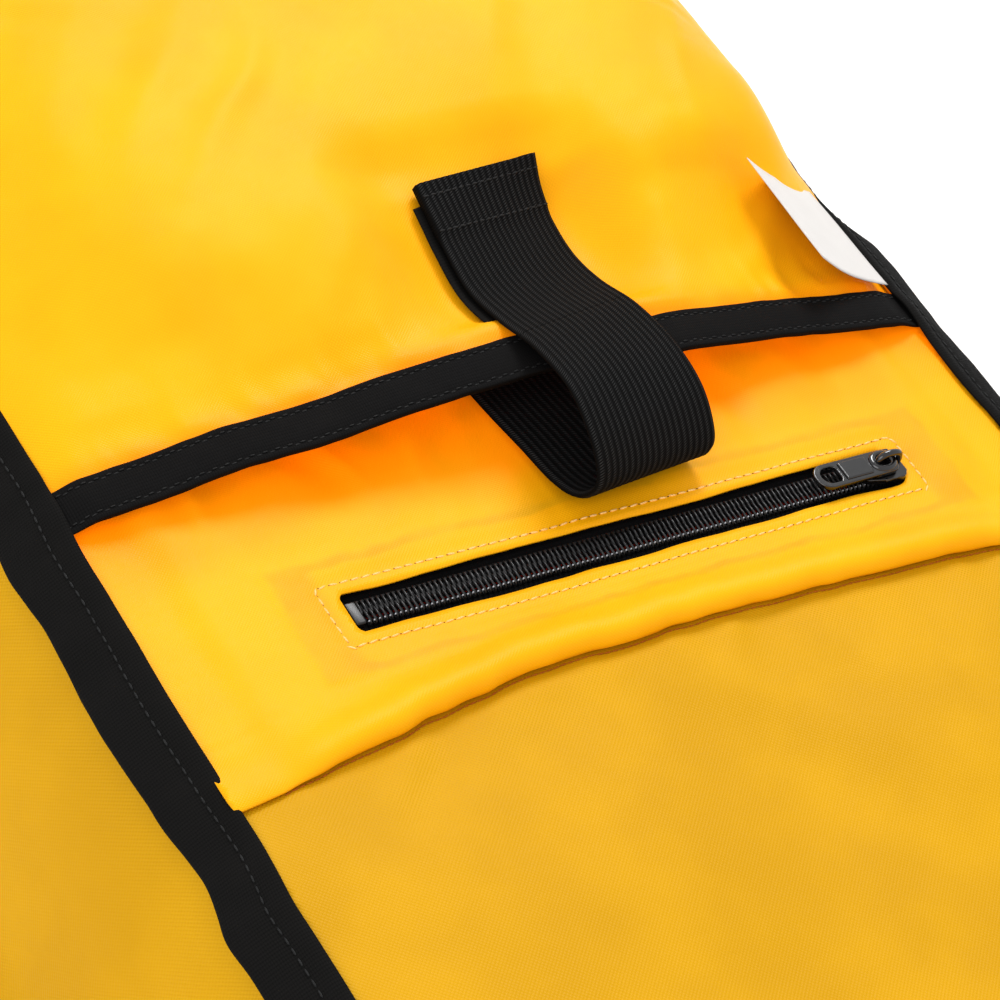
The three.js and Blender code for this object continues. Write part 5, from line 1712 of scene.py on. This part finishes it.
def turned(name, profile, centre, axis, finish, body, slot, *nodes, sides=56):
    """Spins (radius, along) points round an axis through `centre`."""
    profile = np.array(profile, float)
    a = np.linspace(0, 2 * math.pi, sides, endpoint=False)[:, None]
    r, along = profile[None, :, 0], profile[None, :, 1] + 0 * a
    if axis == "Y":
        points = np.stack([r * np.cos(a), along, r * np.sin(a)], -1)
    else:
        points = np.stack([along, r * np.cos(a), r * np.sin(a)], -1)
    closed = profile[0, 0] > 0 and profile[-1, 0] > 0
    obj = piece(name, points + np.array(centre), grid_faces(sides, len(profile), True, closed), finish)
    modify(obj, "WELD", merge_threshold=0.00001)
    settle(obj)
    outwards(obj)
    rounded(obj, 0.35, 2, 32)
    return sewn(obj, body, slot, *nodes)


print("lathe ready")

# %% [markdown]
# Grip ribs are copies of one small bar round a circle. Another node tree places them, and each
# copy is turned with the circle.

# %% Grip ribs round a ring
def ring_tree():
    """Repeats an object round a circle about Y, then turns the ring to the wanted axis."""
    tree, given, result = new_tree("copies round a ring", [("Count", "NodeSocketInt", 24),
            ("Radius", "NodeSocketFloat", 0.01), ("Part", "NodeSocketObject", None),
            ("Material", "NodeSocketMaterial", None)])
    part = node(tree, "GeometryNodeObjectInfo", {"transform_space": "ORIGINAL"},
            Object=given.outputs["Part"])
    ring = node(tree, "GeometryNodeCurvePrimitiveCircle", Radius=given.outputs["Radius"])
    steps = node(tree, "GeometryNodeResampleCurve", {"mode": "COUNT"}, Curve=ring.outputs[0],
            Count=given.outputs["Count"])
    ahead = node(tree, "GeometryNodeInputTangent")
    facing = node(tree, "FunctionNodeAlignRotationToVector", {"axis": "Y"}, Vector=ahead.outputs[0])
    placed = node(tree, "GeometryNodeInstanceOnPoints", Points=steps.outputs[0],
            Instance=part.outputs["Geometry"], Rotation=facing.outputs[0])
    return end_tree(tree, given, result, placed, "Material")


ring_copies = ring_tree()


def grip_ribs(name, centre, axis, radius, length, count, finish, body, slot, width=0.9):
    """Small bars round a turned piece."""
    bar = lump(name + "_bar", (-0.35, -width / 2, -length / 2), (0.45, width / 2, length / 2), finish,
            0.25, 1)
    obj = grow_from(name, ring_copies, [(0, 0, 0), (0, 0, 1)], [(0, 1)],
            {"Count": count, "Radius": radius * MM, "Part": bar, "Material": finish})
    bpy.data.objects.remove(bar)
    turn = Matrix.Rotation(math.pi / 2, 4, "X" if axis == "Y" else "Y")
    obj.data.transform(Matrix.Translation(Vector(centre) * MM) @ turn)
    return sewn(obj, body, slot)


print("rib tree:", len(ring_copies.nodes), "nodes")

# %% [markdown]
# The gas cylinder is bright steel with a threaded neck, whose thread hides in the inflator, and a
# domed end. The sensor cap is a ribbed moulding that screws on to the inflator's side.

# %% Gas cylinder and sensor cap
c_low, c_high, c_mid, c_r = round_box("co2_cylinder", 0)
turned("gas_cylinder", [(0, c_high[1]), (5.4, c_high[1]), (5.9, c_high[1] - 0.6),
        (5.9, c_high[1] - 8.5), (5.2, c_high[1] - 9.2), (5.2, c_high[1] - 10.6),
        (7.2, c_high[1] - 13.2), (9.6, c_high[1] - 17.0), (10.7, c_high[1] - 20.4),
        (c_r, c_high[1] - 24), (c_r, c_low[1] + 8.5), (10.3, c_low[1] + 5), (8.3, c_low[1] + 2.2),
        (4.6, c_low[1] + 0.4), (0, c_low[1])], (c_mid[0], 0, c_mid[2]), "Y", steel, "cylinder",
        "bright_steel", "co2_cylinder")
s_low, s_high, s_mid, s_r = round_box("sensor_cap", 1)
turned("sensor_cap_moulding", [(0, s_low[0]), (s_r - 0.9, s_low[0]), (s_r - 0.9, s_high[0] - 2.4),
        (s_r - 2.6, s_high[0] - 0.6), (s_r - 4.2, s_high[0]), (6.2, s_high[0]), (5.6, s_high[0] - 0.9),
        (0, s_high[0] - 0.9)], (0, s_mid[1], s_mid[2]), "X", moulding, "sensor_cap", "black_plastic",
        "sensor_cap")
grip_ribs("sensor_cap_ribs", (s_mid[0] - 0.9, s_mid[1], s_mid[2]), "X", s_r - 0.55, s_high[0] - s_low[0]
        - 4.2, 36, moulding, "sensor_cap", "black_plastic")

# %% [markdown]
# The inflator's body, lever and pins are mouldings and cut steel whose CAD shapes are kept, with
# rounded edges. A soft gasket with a raised rim seals the inflator and the mouth tube.

# %% Inflator, lever and gaskets
softened("inflator_moulding", "inflator_body", "jacket", "black_plastic", moulding, 0.8)
softened("inflator_lever_moulding", "inflator_lever", "lever", "red_plastic", red_moulding, 0.7)
for name in ("inflator_gasket", "oral_gasket"):
    low, high, mid, r = round_box(name, 1)
    turned(name + "_rubber", [(8.3, low[0]), (r, low[0]), (r, high[0] - 0.7), (r - 0.9, high[0]),
            (10.4, high[0]), (10.0, high[0] - 0.4), (8.3, high[0] - 0.4)], (0, mid[1], mid[2]), "X",
            gasket_rubber, "jacket", "gasket_rubber", name)
softened("lever_pin_steel", "lever_pin", "jacket", "bright_steel", steel, 0.25)
softened("firing_pin_steel", "firing_pin", "firing_pin", "bright_steel", steel, 0.2)

# %% [markdown]
# The mouth tube is ribbed rubber, so that it bends without closing. Its profile is a wave between
# two plain ends. The valve and its plunger keep their CAD shapes, and the cap has grip ribs. The
# whistle is an orange moulding.

# %% Mouth tube, cap and whistle
softened("oral_elbow_moulding", "oral_elbow", "jacket", "black_plastic", moulding, 0.5)
t_low, t_high, t_mid, t_r = round_box("oral_tube", 0)
TUBE_WAVE = 4
waves = np.linspace(t_low[1] + 8, t_high[1] - 8, 61)
tube_profile = [(0, t_low[1]), (t_r, t_low[1]), (t_r, t_low[1] + 7)]
tube_profile += [(t_r - 0.45 - 0.4 * math.cos((y - waves[0]) * 2 * math.pi / TUBE_WAVE), y)
        for y in waves]
tube_profile += [(t_r, t_high[1] - 7), (t_r, t_high[1]), (0, t_high[1])]
turned("oral_tube_rubber", tube_profile, (t_mid[0], 0, t_mid[2]), "Y", tube_rubber, "jacket",
        "black_plastic", "oral_tube")
softened("oral_valve_moulding", "oral_valve", "jacket", "black_plastic", moulding, 0.4)
softened("oral_plunger_moulding", "oral_plunger", "oral_plunger", "red_plastic", red_moulding, 0.4)
o_low, o_high, o_mid, o_r = round_box("oral_cap", 0)
turned("oral_cap_moulding", [(o_r - 0.7, o_low[1]), (o_r - 0.5, o_low[1] + 0.5),
        (o_r - 0.5, o_high[1] - 1.6), (o_r - 1.6, o_high[1] - 0.3), (o_r - 2.6, o_high[1]),
        (0, o_high[1]), (0, o_high[1] - 1.9), (o_r - 1.35, o_high[1] - 2.0), (o_r - 1.35, o_low[1])],
        (o_mid[0], 0, o_mid[2]), "Y", moulding, "oral_cap", "black_plastic", "oral_cap")
grip_ribs("oral_cap_ribs", (o_mid[0], o_mid[1] - 0.6, o_mid[2]), "Y", o_r - 0.4, o_high[1] - o_low[1]
        - 3.4, 28, moulding, "oral_cap", "black_plastic", 0.8)
softened("whistle_moulding", "whistle", "whistle", "whistle_plastic", orange_moulding, 0.8)

# %% [markdown]
# ## The waist belt
# The belt is 38 mm webbing. Its root is sewn along the leaning side wall, then it turns upright,
# goes round the corner and ends in the buckle, where it wraps the bar. The piece follows a plan
# line and a lean that dies out, and its section is a thin slab with rounded edges and cords.

# %% Weave the belt
BELT_FAR = span("belt_right")[1][1] - BELT_THICK / 2
BELT_Z = (span("buckle_male")[0][2] + span("buckle_male")[1][2]) / 2
BAR, BAR_SIDE, CORNER = 32, 4, 60
ROOT_STEPS, CORNER_STEPS, TAIL_STEPS = 60, 40, 30
wrap = BAR_SIDE / 2 * math.sqrt(2) + BELT_THICK / 2 + 0.6


def belt_plan():
    """The belt's line seen from above, and its lean at each point."""
    root0, root1, upright = HEM - 92, HEM - 36, HEM + 3
    cx, cy = BELT_X - CORNER, BELT_FAR - CORNER
    plan = np.vstack([np.stack([np.full(ROOT_STEPS, BELT_X), np.linspace(root0, cy, ROOT_STEPS)], -1),
            arc(cx, cy, CORNER, 0, 90, CORNER_STEPS)[1:],
            np.stack([np.linspace(cx, BAR, TAIL_STEPS)[1:], np.full(TAIL_STEPS - 1, BELT_FAR)], -1),
            arc(BAR, BELT_FAR - wrap, wrap, 90, 270, 20)[1:], [(BAR + 4, BELT_FAR - 2 * wrap),
            (BAR + 9, BELT_FAR - 2 * wrap)]])
    lean = BELT_LEAN * (1 - ease((plan[:, 1] - root1) / (upright - root1)))
    lean[ROOT_STEPS:] = 0
    return plan, lean


def belt_half(name, side, node_name):
    """One half of the belt as a ribbed slab."""
    plan, lean = belt_plan()
    ahead = np.gradient(plan, axis=0)
    ahead /= np.linalg.norm(ahead, axis=1)[:, None]
    cords = 24
    up = np.linspace(-1, 1, cords * 2 + 1)
    rib = 0.14 * np.abs(np.sin(math.pi * cords * (up + 1) / 2)) ** 0.7
    thin = 0.45 + 0.55 * ease((1 - np.abs(up)) * 9)
    faces_out = (BELT_THICK / 2 - 0.14) * thin + rib * thin
    section = np.concatenate([np.stack([faces_out, up], -1), np.stack([-faces_out, up], -1)[::-1]])
    ripple = 0.12 * humps(plan[:, 0], plan[:, 1], 14, 111)
    ripple[ROOT_STEPS + CORNER_STEPS:] = 0
    across, rise = section[None, :, 0], section[None, :, 1] * BELT_WIDE / 2
    c, s = np.cos(lean)[:, None], np.sin(lean)[:, None]
    level = (across + ripple[:, None]) * c - rise * s
    x = side * (plan[:, :1] + ahead[:, 1:] * level)
    y = plan[:, 1:] - ahead[:, :1] * level
    z = BELT_Z + rise * c + across * s
    faces = slab_faces(len(plan), len(section))
    run = run_along(plan)[:, None]
    uv = np.stack([rise + 0 * run, run + 0 * rise], -1)
    obj = outwards(piece(name, np.stack([x, y, z], -1), faces, web_cloth, uv=uv))
    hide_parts(node_name)
    print(f"{name}: {len(obj.data.polygons)} faces")
    return obj


left_belt = belt_half("belt_left_webbing", -1, "belt_left")
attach(left_belt, "jacket")
right_belt = belt_half("belt_right_webbing", 1, "belt_right")
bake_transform(right_belt)


# %% [markdown]
# The belt is sewn to the wall with a box and cross of bright thread, which holds in every
# direction. The buckle and the adjuster are mouldings that keep their CAD shapes.

# %% Sew on the belt
def root_stitches(side):
    """A box and cross of thread where the belt is sewn on."""
    y0, y1, h = HEM - 88, HEM - 44, BELT_WIDE / 2 - 4
    corners = [(y0, -h), (y1, -h), (y1, h), (y0, h), (y0, -h), (y1, h), (y1, -h), (y0, h)]
    line = np.vstack([np.linspace(a, b, 20) for a, b in zip(corners, corners[1:])])
    level = BELT_THICK / 2 + 0.15
    c, s = math.cos(BELT_LEAN), math.sin(BELT_LEAN)
    x = side * (BELT_X + level * c - line[:, 1] * s)
    return np.stack([x, line[:, 0], BELT_Z + line[:, 1] * c + level * s], -1)


stitches("belt_root_stitches", [root_stitches(1), root_stitches(-1)], white_thread, "black_tape",
        pitch=2.8, length=2.3, thickness=0.6)
for name, body, bevel in (("buckle_female", "jacket", 0.9), ("buckle_male", "buckle_male", 0.9),
        ("belt_adjuster", "adjuster", 0.6)):
    softened(name + "_moulding", name, body, "black_plastic", moulding, bevel)

# %% [markdown]
# The keeper, the whistle's holder and the tab of the hem ring are short rings of elastic or
# webbing. Each keeps its CAD shape with rounded edges, and gets a cloth map so that its cords show.

# %% Keeper, holder and tab
def band_ring(name, node_name, body, finish):
    """A short elastic ring that hugs something, from the CAD ring with softened edges."""
    obj = merged(name, node_name, finish)
    rounded(obj, 0.5, 3, 30)
    co = np.array([tuple(v.co) for v in obj.data.vertices]) / MM
    layer = obj.data.uv_layers.get("cloth") or obj.data.uv_layers.new(name="cloth")
    corner = np.zeros(len(obj.data.loops), int)
    obj.data.loops.foreach_get("vertex_index", corner)
    flat = np.stack([co[:, 1], co[:, 0] + co[:, 2]], -1)[corner] * MM
    layer.data.foreach_set("uv", flat.ravel())
    dress(obj, finish)
    return sewn(obj, body, "black_tape", node_name)


band_ring("belt_keeper_elastic", "belt_keeper", "keeper", strap_cloth)
band_ring("whistle_holder_elastic", "whistle_holder", "jacket", strap_cloth)
band_ring("ring_tab_webbing", "ring_tab", "jacket", web_cloth)
softened("hem_ring_steel", "d_ring", "d_ring", "bright_steel", steel, 0.3, angle=60)

# %% [markdown]
# ## Collar pieces
# Two silver patches and a narrow one lie on the collar, each edged with a row of stitches. They
# are cut like the other panels and follow the lining below them.

# %% Sew on the patches
def patch(name, node_name, radius):
    """A silver patch that follows the lining."""
    low, high = span(node_name)
    x0, x1, y0, y1 = low[0], high[0], low[1], high[1]
    corners = ((x1 - radius, y0 + radius, -90), (x1 - radius, y1 - radius, 0),
            (x0 + radius, y1 - radius, 90), (x0 + radius, y0 + radius, 180))
    outline = even_loop(np.vstack([arc(x, y, radius, a, a + 90, 6) for x, y, a in corners]), 1.5)

    def lift(x, y):
        ground = lift_lining(x, y)
        ground[:, 2] += 1.25 + 0.12 * humps(x, y, 9, 121)
        return ground

    obj = cut_panel(name, outline, lift, 0.4, reflective_film, step=2.5)
    sewn(obj, "jacket", "reflective", node_name)
    inner = np.array([(x0 + 2.2, y0 + 2.2), (x1 - 2.2, y0 + 2.2), (x1 - 2.2, y1 - 2.2),
            (x0 + 2.2, y1 - 2.2)])
    line = lift(*even_loop(inner, 1.2).T) + (0, 0, 0.05)
    stitches(name + "_stitches", [line], white_thread, "reflective", pitch=2.6, length=2.1,
            thickness=0.4, closed=True)


for node_name, radius in (("reflective_left", 4), ("reflective_right", 4), ("reflective_neck", 3)):
    patch(node_name + "_film", node_name, radius)

# %% [markdown]
# The hanging loop is a short tape sewn down at both ends, which stands up in the middle. One
# curve gives its rise, and bars of thread hold its ends.

# %% Hang the loop
def hanging_loop():
    """A short tape that stands up between its two sewn ends."""
    low, high = span("hanger_loop")
    line = curve_through([(-27, 0.0), (-20, 0.05), (-15, 0.9), (-8, 6.0), (0, 10.2), (8, 6.0),
            (15, 0.9), (20, 0.05), (27, 0.0)], 70)
    y = np.linspace(low[1], high[1], 17)
    rib = 0.1 * np.abs(np.sin(math.pi * 8 * np.linspace(0, 1, 17)))
    points = np.stack([line[:, :1] + 0 * y, 0 * line[:, :1] + y, TOP + 1.75 + line[:, 1:] + rib + 0
            * y], -1)
    girth = run_along(line)[:, None]
    obj = piece("hanging_loop_tape", points, grid_faces(70, 17), tape_cloth,
            uv=np.stack([y + 0 * girth, girth + 0 * y], -1))
    thicken(obj, 1.2)
    sewn(obj, "jacket", "black_tape", "hanger_loop")
    bars = [[(x, y0, TOP + 2.05) for y0 in np.linspace(low[1] + 1, high[1] - 1, 12)]
            for x in (-24, -21, 21, 24)]
    stitches("hanging_loop_stitches", bars, white_thread, "black_tape", pitch=1.5, length=1.3,
            thickness=0.5)


hanging_loop()
